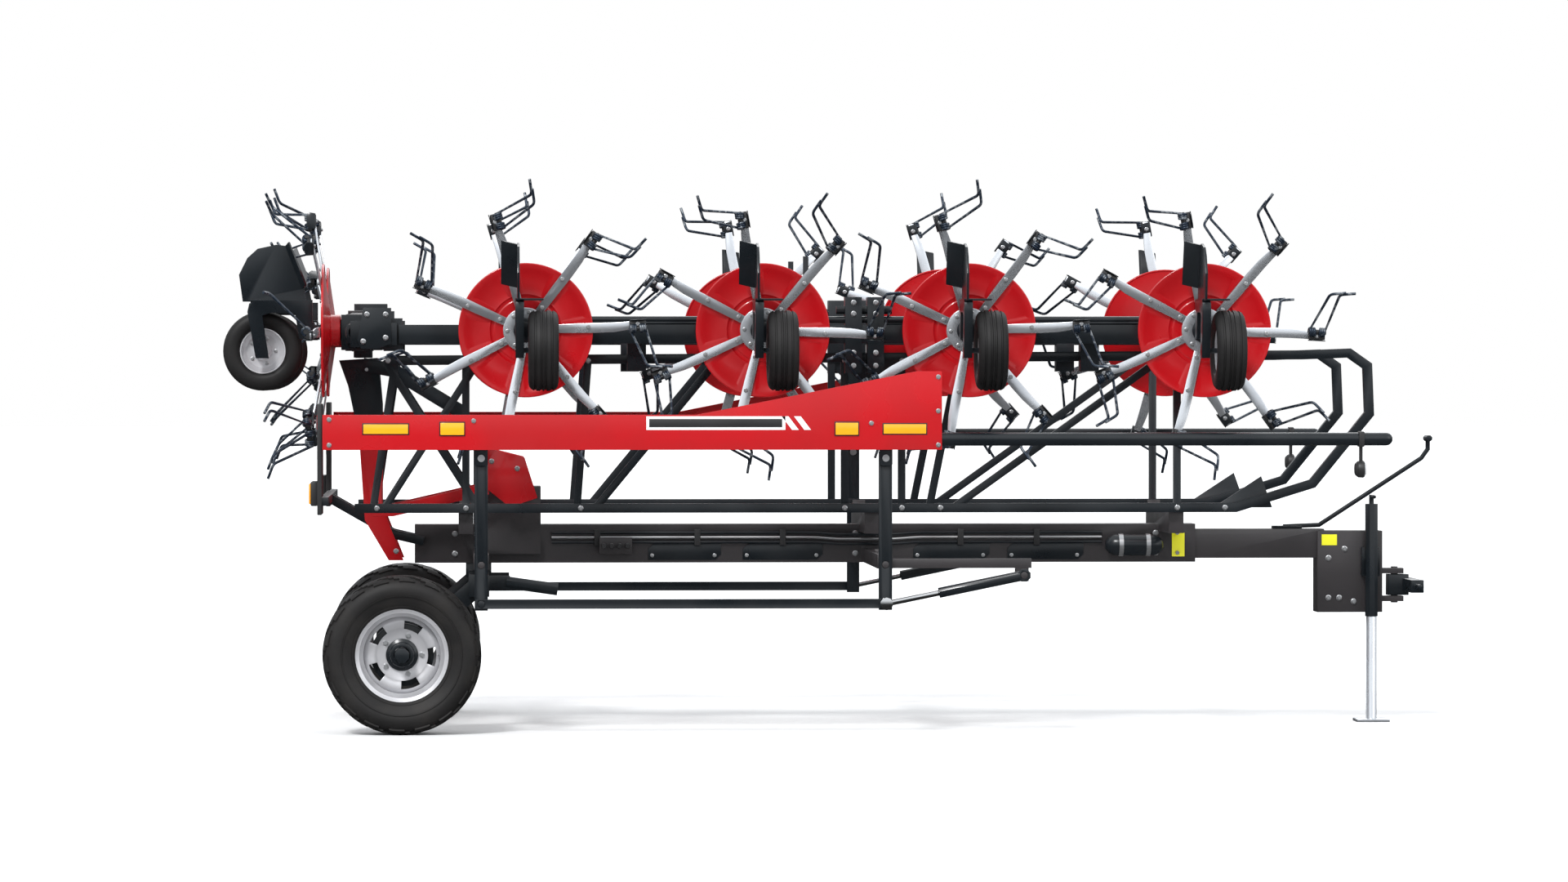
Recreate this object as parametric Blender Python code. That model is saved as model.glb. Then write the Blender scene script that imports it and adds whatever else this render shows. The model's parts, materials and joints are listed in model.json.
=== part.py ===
"""Ten-rotor trailed hay tedder, standing in its transport position.

Metres, +X is forward, +Z is up, and the machine's right-hand side is -Y.
Both wings are folded forward, so each wing rotor faces outwards and the two
centre rotors face the rear.
"""

import math

import bpy
from mathutils import Matrix, Vector

# Clearances between pieces that only rest against each other.
GAP = 0.0003
# Edges flatter than this are shaded smooth.
SMOOTH_BELOW = math.radians(35)

# Rotors, each described in its own frame: u along the beam, v up, a out of the machine.
ROTOR_X = (-1.70, -0.43, 0.68, 1.95)
WING_Y = 0.89
CENTRE_X, CENTRE_Y = -2.74, 0.60
HUB_Z = 2.15
ARMS = 7
DISH_R, HUB_R, DISH_SIDES = 0.36, 0.085, 14
DISH_RISE, DISH_SKIN, HUB_BACK = 0.054, 0.013, 0.045
ARM_R, ARM_W, ARM_T = 0.64, 0.045, 0.012
TINE_R, TINE_SIDE, TINE_DEPTH = 0.007, 0.225, 0.250
PHASE = math.radians(3.0)

# Gauge wheels under the rotors, in the rotor's frame.
GAUGE_R, GAUGE_W, GAUGE_BORE = 0.215, 0.160, 0.016
GAUGE_U, GAUGE_V, GAUGE_A = 0.09, -0.11, 0.375
LEG_T = 0.045
COLUMN_R = 0.033
HUB_BORE = COLUMN_R + 0.0015

# Folding beams that carry the rotors.
BEAM, BEAM_BACK, BEAM_V, LUG_DROP = 0.10, 0.13, -0.02, 0.125
WING_REAR, WING_FRONT = -2.38, 2.08

# Chassis, axle and drawbar.
CHASSIS_W, CHASSIS_Z0, CHASSIS_Z1 = 0.20, 0.88, 1.09
CHASSIS_REAR, CHASSIS_FRONT, NECK_FRONT = -2.30, 2.00, 2.72
NECK_W, NECK_Z0, NECK_Z1 = 0.14, 0.90, 1.06
AXLE_X, TYRE_R, TYRE_W, TRACK_Y = -2.36, 0.425, 0.36, 1.10
TYRE_FLAT = 0.003
AXLE_BEAM_X, AXLE_BEAM_Z = -1.95, 0.78
WHEEL_Z = TYRE_R - TYRE_FLAT
RIM_R, AXLE_R, WHEEL_BORE = 0.238, 0.0408, 0.042

# Cradle that holds the folded wings.
CRADLE_Y, CRADLE_T = 0.60, 0.05
RAIL_LOW, RAIL_TOP = 1.19, HUB_Z - 0.16
TRUSS_X, REST_X = (-2.02, 0.18, 1.84), (-1.10, 1.35)
STRUT_W, STRUT_T, GUSSET_T = 0.040, 0.036, 0.016

# Lift arms and lighting bar at the rear.
LIFT_Y, MAST_T, CHEEK_T, SLEEVE_R = 0.275, 0.036, 0.052, 0.028
LIGHT_X, LIGHT_Z, LIGHT_HALF, LIGHT_BAR = CENTRE_X - 0.030, 1.24, 1.28, 0.045
BOARD_Y, BOARD_Z, BOARD_T = (0.90, 1.30), (1.17, 1.755), 0.020

# Side guards on parallel links.
POST_X = (-1.94, 0.20)
PIVOT_Z, TOP_ARM, FOOT_ARM = 0.905, 0.565, 0.205
POST_Y0, POST_Y1, POST_W = 1.340, 1.380, 0.070
GUARD_Y, GUARD_TUBE_R, GUARD_TUBE_Z = 1.40, 0.035, 1.57
GUARD_REAR, GUARD_FRONT, MARKER_X = -2.60, 2.90, 2.73
FAIRING_REAR, FAIRING_FRONT, FAIRING_Z = -2.775, 0.494, (1.515, 1.70, 1.93)
PIN_R, PIN_BORE = 0.0191, 0.0200
LUG_X, LUG_Z = 0.93, 0.85
RAM_Y, RAM_R, RAM_BORE, ROD_R = 1.442, 0.028, 0.0160, 0.0153
RAM_BARREL, RAM_ROD = 0.46, 0.56

# Drawbar head, jack and headstock.
HEAD_X0, HEAD_X1, HEAD_Z0, HEAD_Z1 = 2.68, 3.04, 0.60, 1.05
JACK_X, JACK_Y, JACK_R, JACK_BORE, JACK_LEG = 2.97, -0.155, 0.036, 0.0300, 0.0292
JACK_Z0, JACK_Z1, JACK_LENGTH = 0.58, 1.20, 0.72
SWIVEL_X, SWIVEL_Z, SWIVEL_R, SWIVEL_BORE = 3.12, 0.75, 0.020, 0.0210
BAR_X, BAR_T, BAR_HALF, LINK_HALF = 3.195, 0.07, 0.36, 0.45
HOLDER_TIP = (3.306, 1.56)

MIRROR = Matrix.Diagonal((1, -1, 1, 1))


# Pieces: each is (points, faces), closed, with its faces outwards.


def closed(points, faces):
    """The piece with its faces turned outwards."""
    points = [Vector(p) for p in points]
    volume = 0.0
    for face in faces:
        for i in range(1, len(face) - 1):
            a, b, c = points[face[0]], points[face[i]], points[face[i + 1]]
            volume += a.dot(b.cross(c))
    return points, [f[::-1] for f in faces] if volume < 0 else faces


def moved(piece, matrix):
    """The piece, moved by that matrix."""
    return closed([matrix @ p for p in piece[0]], piece[1])


def prism(outline, depth):
    """A flat outline pushed along the vector `depth`."""
    n = len(outline)
    outline = [Vector(p) for p in outline]
    points = outline + [p + Vector(depth) for p in outline]
    sides = [[i, (i + 1) % n, n + (i + 1) % n, n + i] for i in range(n)]
    return closed(points, [list(range(n))[::-1], list(range(n, 2 * n)), *sides])


def box(x, y, z):
    """A block between the two values of each axis."""
    outline = [(x[0], y[0], z[0]), (x[1], y[0], z[0]), (x[1], y[1], z[0]), (x[0], y[1], z[0])]
    return prism(outline, (0, 0, z[1] - z[0]))


def swept(path, section, up=(0, 1, 0)):
    """A section of (side, up) offsets carried along a path, mitred at its bends."""
    path = [Vector(p) for p in path]
    points = []
    for i, here in enumerate(path):
        before = (here - path[max(i - 1, 0)]).normalized()
        after = (path[min(i + 1, len(path) - 1)] - here).normalized()
        along = before if i else after
        plane = (before + after).normalized()
        top = (Vector(up) - along * along.dot(Vector(up))).normalized()
        side = top.cross(along)
        for s, t in section:
            offset = side * s + top * t
            points.append(here + offset - along * (offset.dot(plane) / along.dot(plane)))
    n = len(section)
    faces = [list(range(n)), list(range(len(points) - n, len(points)))[::-1]]
    for ring in range(len(path) - 1):
        for i in range(n):
            a, b = ring * n + i, ring * n + (i + 1) % n
            faces.append([a, a + n, b + n, b])
    return closed(points, faces)


def rect(width, height):
    """A rectangular section for `swept`."""
    w, h = width / 2, height / 2
    return [(-w, -h), (w, -h), (w, h), (-w, h)]


def bar(p, q, width, height, up=(0, 1, 0)):
    """A rectangular bar from p to q; `height` is measured along `up`."""
    return swept((p, q), rect(width, height), up)


def ring_of(radius, n):
    return [
        (radius * math.cos(2 * math.pi * (i + 0.5) / n), radius * math.sin(2 * math.pi * (i + 0.5) / n))
        for i in range(n)
    ]


def tube(path, radius, n=8, up=(0, 1, 0)):
    """A round bar along a path of straight runs."""
    return swept(path, ring_of(radius, n), up)


def pin(centre, axis, length, radius, n=8):
    """A round bar of that length about its centre, along the vector `axis`."""
    half = Vector(axis).normalized() * length / 2
    up = (0, 0, 1) if abs(half.normalized().z) < 0.9 else (1, 0, 0)
    return tube((Vector(centre) - half, Vector(centre) + half), radius, n, up)


def bore(centre, axis, length, radius):
    """A cutter, round enough that the pin in it can turn."""
    return pin(centre, axis, length, radius, 16)


def lathe(profile, n, matrix=None):
    """A closed profile of (radius, height) turned about +Z, or about the matrix's Z."""
    points, faces, m = [], [], len(profile)
    for i in range(n):
        angle = 2 * math.pi * (i + 0.5) / n
        points += [(r * math.cos(angle), r * math.sin(angle), h) for r, h in profile]
    for i in range(n):
        for j in range(m):
            a, b = i * m + j, i * m + (j + 1) % m
            c, d = ((i + 1) % n) * m + j, ((i + 1) % n) * m + (j + 1) % m
            faces.append([a, c, d, b])
    return moved(closed(points, faces), matrix or Matrix())


# Scene objects.


def mesh_of(piece, name):
    mesh = bpy.data.meshes.new(name)
    mesh.from_pydata([tuple(p) for p in piece[0]], [], piece[1])
    mesh.update()
    return mesh


def helper(piece, group):
    thing = bpy.data.objects.new("helper", mesh_of(piece, "helper"))
    thing.hide_render = True
    thing.display_type = "WIRE"
    group.objects.link(thing)
    return thing


def fused(name, pieces, cuts=()):
    """One mesh from overlapping pieces, less the cuts."""
    base = bpy.data.objects.new(name, mesh_of(pieces[0], name))
    bpy.context.scene.collection.objects.link(base)
    groups = []
    for operation, members in (("UNION", pieces[1:]), ("DIFFERENCE", cuts)):
        if not members:
            continue
        group = bpy.data.collections.new(name + "_helpers")
        bpy.context.scene.collection.children.link(group)
        for piece in members:
            helper(piece, group)
        step = base.modifiers.new(operation.lower(), "BOOLEAN")
        step.operation, step.solver = operation, "EXACT"
        step.operand_type, step.collection = "COLLECTION", group
        groups.append(group)
    graph = bpy.context.evaluated_depsgraph_get()
    mesh = bpy.data.meshes.new_from_object(base.evaluated_get(graph))
    bpy.data.objects.remove(base)
    for group in groups:
        for thing in list(group.objects):
            bpy.data.objects.remove(thing)
        bpy.data.collections.remove(group)
    return mesh


def placed(name, mesh, finish, matrix=None, origin=None):
    """An object that shows this mesh. `origin` moves its own origin, not its shape."""
    mesh = mesh.copy()
    mesh.name = name
    if matrix is not None and matrix.determinant() < 0:
        mesh.transform(matrix)
        mesh.flip_normals()
    elif matrix is not None:
        mesh.transform(matrix)
    thing = bpy.data.objects.new(name, mesh)
    if origin is not None:
        mesh.transform(Matrix.Translation(-Vector(origin)))
        thing.location = origin
    mesh.materials.clear()
    mesh.materials.append(finish)
    mesh.shade_smooth()
    mesh.set_sharp_from_angle(angle=SMOOTH_BELOW)
    bpy.context.scene.collection.objects.link(thing)
    return thing


def pair(name, pieces, finish, cuts=(), origin=None):
    """The right-hand object and its mirror image on the left."""
    mesh = fused(name, pieces, cuts)
    placed(name + "_right", mesh, finish, origin=origin)
    other = None if origin is None else MIRROR @ Vector(origin)
    placed(name + "_left", mesh, finish, MIRROR, other)


def paint(name, colour, roughness, metallic=0.0):
    """A plain Principled material."""
    material = bpy.data.materials.new(name)
    material.use_nodes = True
    shader = material.node_tree.nodes["Principled BSDF"]
    shader.inputs["Base Color"].default_value = (*colour, 1)
    shader.inputs["Roughness"].default_value = roughness
    shader.inputs["Metallic"].default_value = metallic
    material.diffuse_color = (*colour, 1)
    return material


# Rotors.


def rotor_frames():
    """(name, frame, hand, phase) of each rotor; the frame's columns are u, v and a."""
    rear = Matrix(((0, 0, -1, CENTRE_X), (-1, 0, 0, -CENTRE_Y), (0, 1, 0, HUB_Z), (0, 0, 0, 1)))
    right = [rear] + [
        Matrix(((1, 0, 0, x), (0, 0, -1, -WING_Y), (0, 1, 0, HUB_Z), (0, 0, 0, 1))) for x in ROTOR_X
    ]
    rotors = []
    for i, frame in enumerate(right):
        hand, phase = (1, -PHASE) if i % 2 == 0 else (-1, PHASE)
        other = phase + (math.pi / ARMS if i == 0 else 0)
        rotors.append((f"right_{i + 1}", frame, hand, phase))
        rotors.append((f"left_{i + 1}", MIRROR @ frame, hand, other))
    return sorted(rotors, key=lambda rotor: (rotor[0][0] == "l", rotor[0]))


def cone(radius):
    """How far out the dish's outer face stands at that radius."""
    return DISH_RISE * radius / DISH_R


def dish_piece():
    """The shallow cone of one rotor, with its hub behind it."""
    profile = [
        (HUB_BORE, -HUB_BACK),
        (HUB_R, -HUB_BACK),
        (HUB_R, cone(HUB_R) - DISH_SKIN),
        (DISH_R, cone(DISH_R) - DISH_SKIN),
        (DISH_R, cone(DISH_R)),
        (HUB_BORE, cone(HUB_BORE)),
    ]
    return lathe(profile, DISH_SIDES)


def arm_pieces(hand):
    """The ring, the arms and the double tines of one rotor."""
    flats = DISH_RISE * (1 / math.cos(math.pi / DISH_SIDES) - 1)
    seat = flats + ARM_W * ARM_W / 8 / HUB_R * DISH_RISE / DISH_R + GAP
    lift = seat + ARM_T / 2
    ring = [(HUB_BORE + 0.006, 0.021), (0.120, 0.021), (0.120, 0.031), (HUB_BORE + 0.006, 0.031)]
    pieces = [lathe(ring, 10)]
    tip = cone(ARM_R) + lift
    for k in range(ARMS):
        turn = Matrix.Rotation(2 * math.pi * k / ARMS, 4, "Z")
        arm = bar((HUB_R, 0, cone(HUB_R) + lift), (ARM_R, 0, tip), ARM_W, ARM_T, (0, 0, 1))
        pieces.append(moved(arm, turn))
        for start in (ARM_R - 0.072, ARM_R - 0.016):
            path = (
                (start, 0, tip - 0.004),
                (start + 0.060, hand * TINE_SIDE, tip + TINE_DEPTH - 0.030),
                (start + 0.140, hand * (TINE_SIDE + 0.010), tip + TINE_DEPTH),
            )
            pieces.append(moved(tube(path, TINE_R, 3, (1, 0, 0)), turn))
    return pieces


def gauge_piece():
    """A gauge wheel about +Z, at its own centre."""
    w = GAUGE_W / 2
    half = [(GAUGE_BORE, 0.045), (0.115, 0.045), (0.135, w), (0.200, w * 0.9)]
    return lathe([(r, -h) for r, h in half] + [(GAUGE_R, 0.0)] + [(r, h) for r, h in half[::-1]], 12)


def gauge_frame(frame):
    """The gauge wheel's own frame: its axle lies along the rotor's u."""
    turn = Matrix(((0, 0, 1, GAUGE_U), (1, 0, 0, GAUGE_V), (0, 1, 0, GAUGE_A), (0, 0, 0, 1)))
    return frame @ turn


def outboard(frame, index):
    """The carrier's frame: the two centre ones are mirrored, so that the leg stands outboard."""
    return frame @ Matrix.Diagonal((-1, 1, 1, 1)) if index == 1 else frame


def carrier_pieces(frame):
    """What the beam carries at one rotor: gearbox, column, wheel leg, axle, fender and shield."""
    near = GAUGE_U - GAUGE_W / 2 - 0.068
    leg = [(near, 0.165, 0.105), (near, 0.165, 0.400), (near, 0.145, 0.445), (near, 0.100, 0.455)]
    leg += [(near, GAUGE_V - 0.040, 0.410), (near, GAUGE_V - 0.040, 0.340), (near, 0.080, 0.375)]
    leg += [(near, 0.095, 0.330), (near, 0.095, 0.200), (near, -0.045, 0.175), (near, -0.045, 0.105)]
    end = GAUGE_U + GAUGE_W / 2
    pieces = [
        box((-0.090, 0.090), (-0.105, 0.085), (-0.205, -0.050)),
        pin((0, 0, 0.0), (0, 0, 1), 0.290, COLUMN_R),
        box((near + 0.006, 0.042), (-0.042, 0.044), (0.095, 0.160)),
        prism(leg, (LEG_T, 0, 0)),
        box((near, GAUGE_U), (0.157, 0.166), (0.150, 0.440)),
        pin(((near + end) / 2, GAUGE_V, GAUGE_A), (1, 0, 0), end - near, GAUGE_BORE - 0.0008),
        *shield_pieces(near + 0.010),
    ]
    return [moved(piece, frame) for piece in pieces]


def shield_pieces(u):
    """The folded plate over a gauge wheel: its flat, drawn as (a, v) points, and its leaning fold."""
    flat = [(0.130, 0.120), (0.150, 0.155), (0.480, 0.155), (0.500, 0.300)]
    flat += [(0.455, 0.390), (0.400, 0.440), (0.300, 0.462), (0.240, 0.455), (0.150, 0.225)]
    crease, foot, fold = Vector((0, 0.455, 0.240)), Vector((0, 0.225, 0.150)), Vector((-0.085, 0.020, -0.020))
    lean = [crease, foot, foot + fold, crease + fold]
    return [
        prism([(u, v, a) for a, v in flat], (0.012, 0, 0)),
        prism([point + Vector((u, 0, 0.012)) for point in lean], (0.014, 0, -0.008)),
    ]


def build_rotors(red, silver, rubber):
    """Every rotor's dish and arms, and its gauge wheel, each about its own axis."""
    dish = fused("dish", [dish_piece()])
    arms = {hand: fused("arms", arm_pieces(hand)) for hand in (-1, 1)}
    wheel = fused("gauge_wheel", [gauge_piece()])
    for name, frame, hand, phase in rotor_frames():
        hub = frame.to_translation()
        turned = frame @ Matrix.Rotation(phase, 4, "Z")
        placed("rotor_dish_" + name, dish, red, turned, hub)
        placed("rotor_arms_" + name, arms[hand], silver, turned, hub)
        axle = gauge_frame(outboard(frame, int(name[-1])))
        placed("gauge_wheel_" + name, wheel, rubber, axle, axle.to_translation())


# Beams, cradle and chassis. Everything below is drawn on the right-hand side, at -Y.


def wing_pieces(frames):
    """One wing: its beam, its carriers, its fold hinge, its rests and its rear bracket."""
    mid_y, mid_z = -(WING_Y - BEAM_BACK), HUB_Z + BEAM_V
    wing = [bar((WING_REAR, mid_y, mid_z), (WING_FRONT, mid_y, mid_z), BEAM, BEAM)]
    for frame in frames[1:]:
        wing += carrier_pieces(frame)
    inner, outer = mid_y + BEAM / 2, mid_y - BEAM / 2
    middle = (ROTOR_X[1] + ROTOR_X[2]) / 2
    for x in (middle - 0.06, middle + 0.06):
        wing.append(box((x - 0.045, x + 0.045), (outer - 0.012, inner + 0.012), (mid_z - 0.21, mid_z + 0.20)))
    wing.append(pin((middle, mid_y, mid_z + 0.13), (1, 0, 0), 0.30, 0.024))
    wing.append(tube(((-0.19, mid_y, mid_z - 0.28), (-0.19, mid_y, mid_z + 0.42)), 0.016))
    for x in REST_X:
        rest = -(CRADLE_Y + CRADLE_T / 2 + GAP)
        wing.append(box((x - 0.05, x + 0.05), (inner - 0.03, rest), (RAIL_TOP - 0.06, mid_z + 0.01)))
    rear = WING_REAR
    face = [(-0.22, -0.03), (-0.19, 0.14), (-0.04, 0.14), (-0.04, -0.05), (-0.11, -0.08), (-0.20, -0.08)]
    return wing + [
        box((rear - 0.10, rear + 0.02), (outer + 0.02, inner - 0.02), (mid_z - 0.085, mid_z + 0.085)),
        prism([(rear + x, outer - 0.030, mid_z + z) for x, z in face], (0, 0.018, 0)),
        box((rear - 0.09, rear - 0.01), (outer - 0.020, outer + 0.030), (mid_z - 0.06, mid_z + 0.06)),
    ]


def build_beams(dark):
    """Both wings, and the beam across the rear that joins them."""
    frames = [frame for name, frame, _, _ in rotor_frames() if name.startswith("right")]
    pair("wing_beam", wing_pieces(frames), dark)
    mid_y, mid_z = -(WING_Y - BEAM_BACK), HUB_Z + BEAM_V
    beam_x = CENTRE_X + BEAM_BACK
    centre = [bar((beam_x, CENTRE_Y + 0.14, mid_z), (beam_x, -CENTRE_Y - 0.14, mid_z), BEAM, BEAM, (0, 0, 1))]
    mid_band, foot_band = (mid_z - 0.07, mid_z + 0.07), (mid_z - LUG_DROP, mid_z + 0.02)
    for side in (Matrix(), MIRROR):
        found = carrier_pieces(outboard(frames[0], 1))
        cheeks = [
            box((beam_x - 0.03, WING_REAR - 0.100 - GAP), (mid_y - 0.020, mid_y + 0.075), mid_band),
            box((beam_x - 0.02, beam_x + 0.075), (-LIFT_Y - 0.025, -LIFT_Y + 0.023), foot_band),
        ]
        centre += [moved(piece, side) for piece in found + cheeks]
    centre.append(box((beam_x - 0.02, beam_x + 0.16), (-0.10, 0.10), (mid_z - 0.02, mid_z + 0.17)))
    placed("centre_beam", fused("centre_beam", centre), dark)


def truss_pieces():
    """One truss: a rail bent into a hoop at the front, with its struts and gussets."""
    y, low, top = -CRADLE_Y, RAIL_LOW, RAIL_TOP
    hoop = [(2.53, top + 0.03), (2.78, top + 0.04), (2.88, top - 0.03), (2.89, top - 0.29), (2.58, low + 0.13)]
    outline = [(-2.44, top), *hoop, (2.16, low), (-2.62, low)]
    pieces = [swept([(x, y, z) for x, z in outline], rect(CRADLE_T, CRADLE_T), (0, 1, 0))]
    struts = [
        ((-2.52, low), (-2.40, top)),
        ((-2.46, low), (-1.95, top)),
        ((TRUSS_X[0], low), (TRUSS_X[0], top)),
        ((-2.46, top), (-1.95, low)),
        ((-1.42, low), (-1.36, top)),
        ((-1.32, low), (-0.66, top)),
        ((0.03, low), (0.03, top)),
        ((0.34, low), (0.34, top)),
        ((0.49, low), (0.65, top)),
        ((0.62, low), (1.74, top)),
        ((TRUSS_X[2], low), (TRUSS_X[2], top)),
    ]
    for p, q in struts:
        pieces.append(bar((p[0], y, p[1]), (q[0], y, q[1]), STRUT_W, STRUT_T))
    gussets = [(2.04, low), (2.36, low), (2.30, 1.36)], [(0.0, top), (0.40, top), (0.20, top - 0.20)]
    for outline in gussets:
        pieces.append(prism([(x, y - GUSSET_T / 2, z) for x, z in outline], (0, GUSSET_T, 0)))
    return pieces


def build_cradle(dark):
    """The two trusses; the left one carries the ties across to the right one."""
    pieces = truss_pieces()
    placed("cradle_frame_right", fused("cradle", pieces), dark)
    edge = CRADLE_Y - CRADLE_T / 2 - GAP
    ties = [moved(piece, MIRROR) for piece in pieces]
    for x, z in ((-2.20, RAIL_TOP), (TRUSS_X[1], RAIL_TOP), (2.70, RAIL_TOP + 0.036)):
        ties.append(box((x - 0.02, x + 0.02), (-edge, CRADLE_Y), (z - 0.02, z + 0.018)))
    placed("cradle_frame_left", fused("cradle", ties), dark)


def build_chassis(dark):
    """The chassis beam with its neck and head, the truss feet and the guards' pivots."""
    w, n = CHASSIS_W / 2, NECK_W / 2
    pieces = [
        box((CHASSIS_REAR, CHASSIS_FRONT), (-w, w), (CHASSIS_Z0, CHASSIS_Z1)),
        box((CHASSIS_FRONT - 0.20, NECK_FRONT), (-n, n), (NECK_Z0, NECK_Z1)),
        box((-1.93, -1.61), (-0.150, 0.150), (CHASSIS_Z0 + 0.05, 1.30)),
        box((HEAD_X0, HEAD_X1), (-n - 0.022, n + 0.022), (HEAD_Z0, HEAD_Z1)),
        box((HEAD_X1 - 0.02, SWIVEL_X + 0.045), (-0.050, 0.050), (SWIVEL_Z + 0.062, SWIVEL_Z + 0.092)),
        box((HEAD_X1 - 0.02, SWIVEL_X + 0.045), (-0.050, 0.050), (SWIVEL_Z - 0.092, SWIVEL_Z - 0.062)),
        pin((SWIVEL_X, 0, SWIVEL_Z), (0, 0, 1), 0.20, SWIVEL_R),
    ]
    edge = CRADLE_Y - CRADLE_T / 2 - GAP
    for x in TRUSS_X:
        pieces.append(box((x - 0.04, x + 0.04), (-edge, edge), (CHASSIS_Z1 - 0.04, RAIL_LOW - 0.02)))
        for s in (-1, 1):
            lug = sorted((s * edge, s * (edge - 0.05)))
            pieces.append(box((x - 0.035, x + 0.035), lug, (RAIL_LOW - 0.06, RAIL_LOW + 0.02)))
    for s in (-1, 1):
        end = POST_Y0 - GAP
        for x in POST_X:
            pieces.append(box((x - 0.04, x + 0.04), sorted((0, s * end)), (PIVOT_Z - 0.022, PIVOT_Z + 0.052)))
            tip = POST_Y1 + 0.0015
            pieces.append(pin((x, s * (tip + end - 0.02) / 2, PIVOT_Z), (0, 1, 0), tip - end + 0.02, PIN_R))
        arm = sorted((s * (end - 0.005), s * (end - 0.055)))
        pieces.append(box((POST_X[1], LUG_X + 0.05), arm, (PIVOT_Z - 0.020, PIVOT_Z + 0.030)))
        pieces.append(box((LUG_X - 0.035, LUG_X + 0.035), arm, (LUG_Z - 0.035, PIVOT_Z)))
        outer = RAM_Y + 0.026
        pieces.append(pin((LUG_X, s * (end - 0.04 + outer) / 2, LUG_Z), (0, 1, 0), outer - end + 0.04, PIN_R))
    placed("chassis_beam", fused("chassis_beam", pieces), dark)


def build_axle(dark):
    """The cross beam, the axle behind it and the arms between them."""
    stub = TRACK_Y + TYRE_W / 2 - 0.02
    inner = TRACK_Y - TYRE_W / 2 - 0.06
    x, z = AXLE_BEAM_X, AXLE_BEAM_Z
    pieces = [
        bar((x, -inner, z), (x, inner, z), 0.11, 0.12, (0, 0, 1)),
        bar((AXLE_X, -inner, WHEEL_Z), (AXLE_X, inner, WHEEL_Z), 0.09, 0.09, (0, 0, 1)),
        pin((AXLE_X, 0, WHEEL_Z), (0, 1, 0), 2 * stub, AXLE_R),
        tube(((x + 0.15, -0.30, z), (x + 0.43, -0.30, z - 0.04)), 0.035),
        box((x - 0.07, x + 0.07), (-0.09, 0.09), (z + 0.02, CHASSIS_Z0 - GAP)),
    ]
    for s in (-1, 1):
        side = s * (inner - 0.05)
        start, end = (x + 0.02, side, z + 0.02), (AXLE_X - 0.02, side, WHEEL_Z - 0.01)
        pieces.append(bar(start, end, 0.10, 0.016))
        pieces.append(box((x + 0.01, x + 0.17), sorted((s * 0.32, s * 0.28)), (z - 0.035, z + 0.035)))
    placed("axle_beam", fused("axle_beam", pieces), dark)


def build_wheels(rubber, silver):
    """Each road wheel turns about its own stub axle; the tyre is flat where it stands."""
    w = TYRE_W / 2
    half = [(RIM_R + 0.002, w * 0.62), (0.330, w), (0.395, w * 0.92), (TYRE_R, w * 0.62)]
    tyre = lathe([(r, -h) for r, h in half] + [(r, h) for r, h in half[::-1]], 28)
    rim_w = w * 0.62
    rim = [
        (WHEEL_BORE, -0.060),
        (0.105, -0.060),
        (0.105, -0.030),
        (0.205, -0.030),
        (0.205, -rim_w),
        (RIM_R, -rim_w),
        (RIM_R, rim_w),
        (0.205, rim_w),
        (0.205, 0.000),
        (0.105, 0.000),
        (0.105, 0.060),
        (WHEEL_BORE, 0.060),
    ]
    turn = Matrix(((1, 0, 0, AXLE_X), (0, 0, 1, -TRACK_Y), (0, 1, 0, WHEEL_Z), (0, 0, 0, 1)))
    centre = turn.to_translation()
    for name, piece, finish in (("wheel_tyre", tyre, rubber), ("wheel_rim", lathe(rim, 20), silver)):
        cuts = []
        if finish is rubber:
            cuts = [box((AXLE_X - 0.3, AXLE_X + 0.3), (-TRACK_Y - 0.4, -TRACK_Y + 0.4), (-0.1, 0.0))]
        pair(name, [moved(piece, turn)], finish, cuts, centre)


def lift_pieces(y):
    """One side of the lift: its upper and lower arm, its mast and its cheek."""
    under = HUB_Z + BEAM_V - LUG_DROP - GAP - 0.0375
    low, top = RAIL_LOW, RAIL_TOP
    upper = [(CENTRE_X + BEAM_BACK + 0.03, under), (-2.42, under - 0.03)]
    upper += [(-2.06, under - 0.25), (-1.72, low + 0.05)]
    lower = [(-2.53, low - 0.02), (-2.42, low - 0.02), (-1.90, low + 0.10)]
    mast = [(-2.71, top), (-2.50, top + 0.014), (-2.478, top - 0.24), (-2.478, low + 0.01)]
    mast += [(-2.36, low - 0.29), (-2.44, low - 0.29), (-2.57, low - 0.07)]
    mast += [(-2.60, top - 0.43), (-2.66, top - 0.14)]
    cheek = [(-1.97, 0.15), (-1.86, 0.31), (-1.70, 0.27), (-1.63, 0.05), (-1.78, 0.0)]
    return [
        swept([(x, y, z) for x, z in upper], rect(0.075, 0.044)),
        swept([(x, y, z) for x, z in lower], rect(0.060, 0.040)),
        prism([(x, y - MAST_T / 2, z) for x, z in mast], (0, MAST_T, 0)),
        prism([(x, y - CHEEK_T / 2, low + z) for x, z in cheek], (0, CHEEK_T, 0)),
    ]


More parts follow.
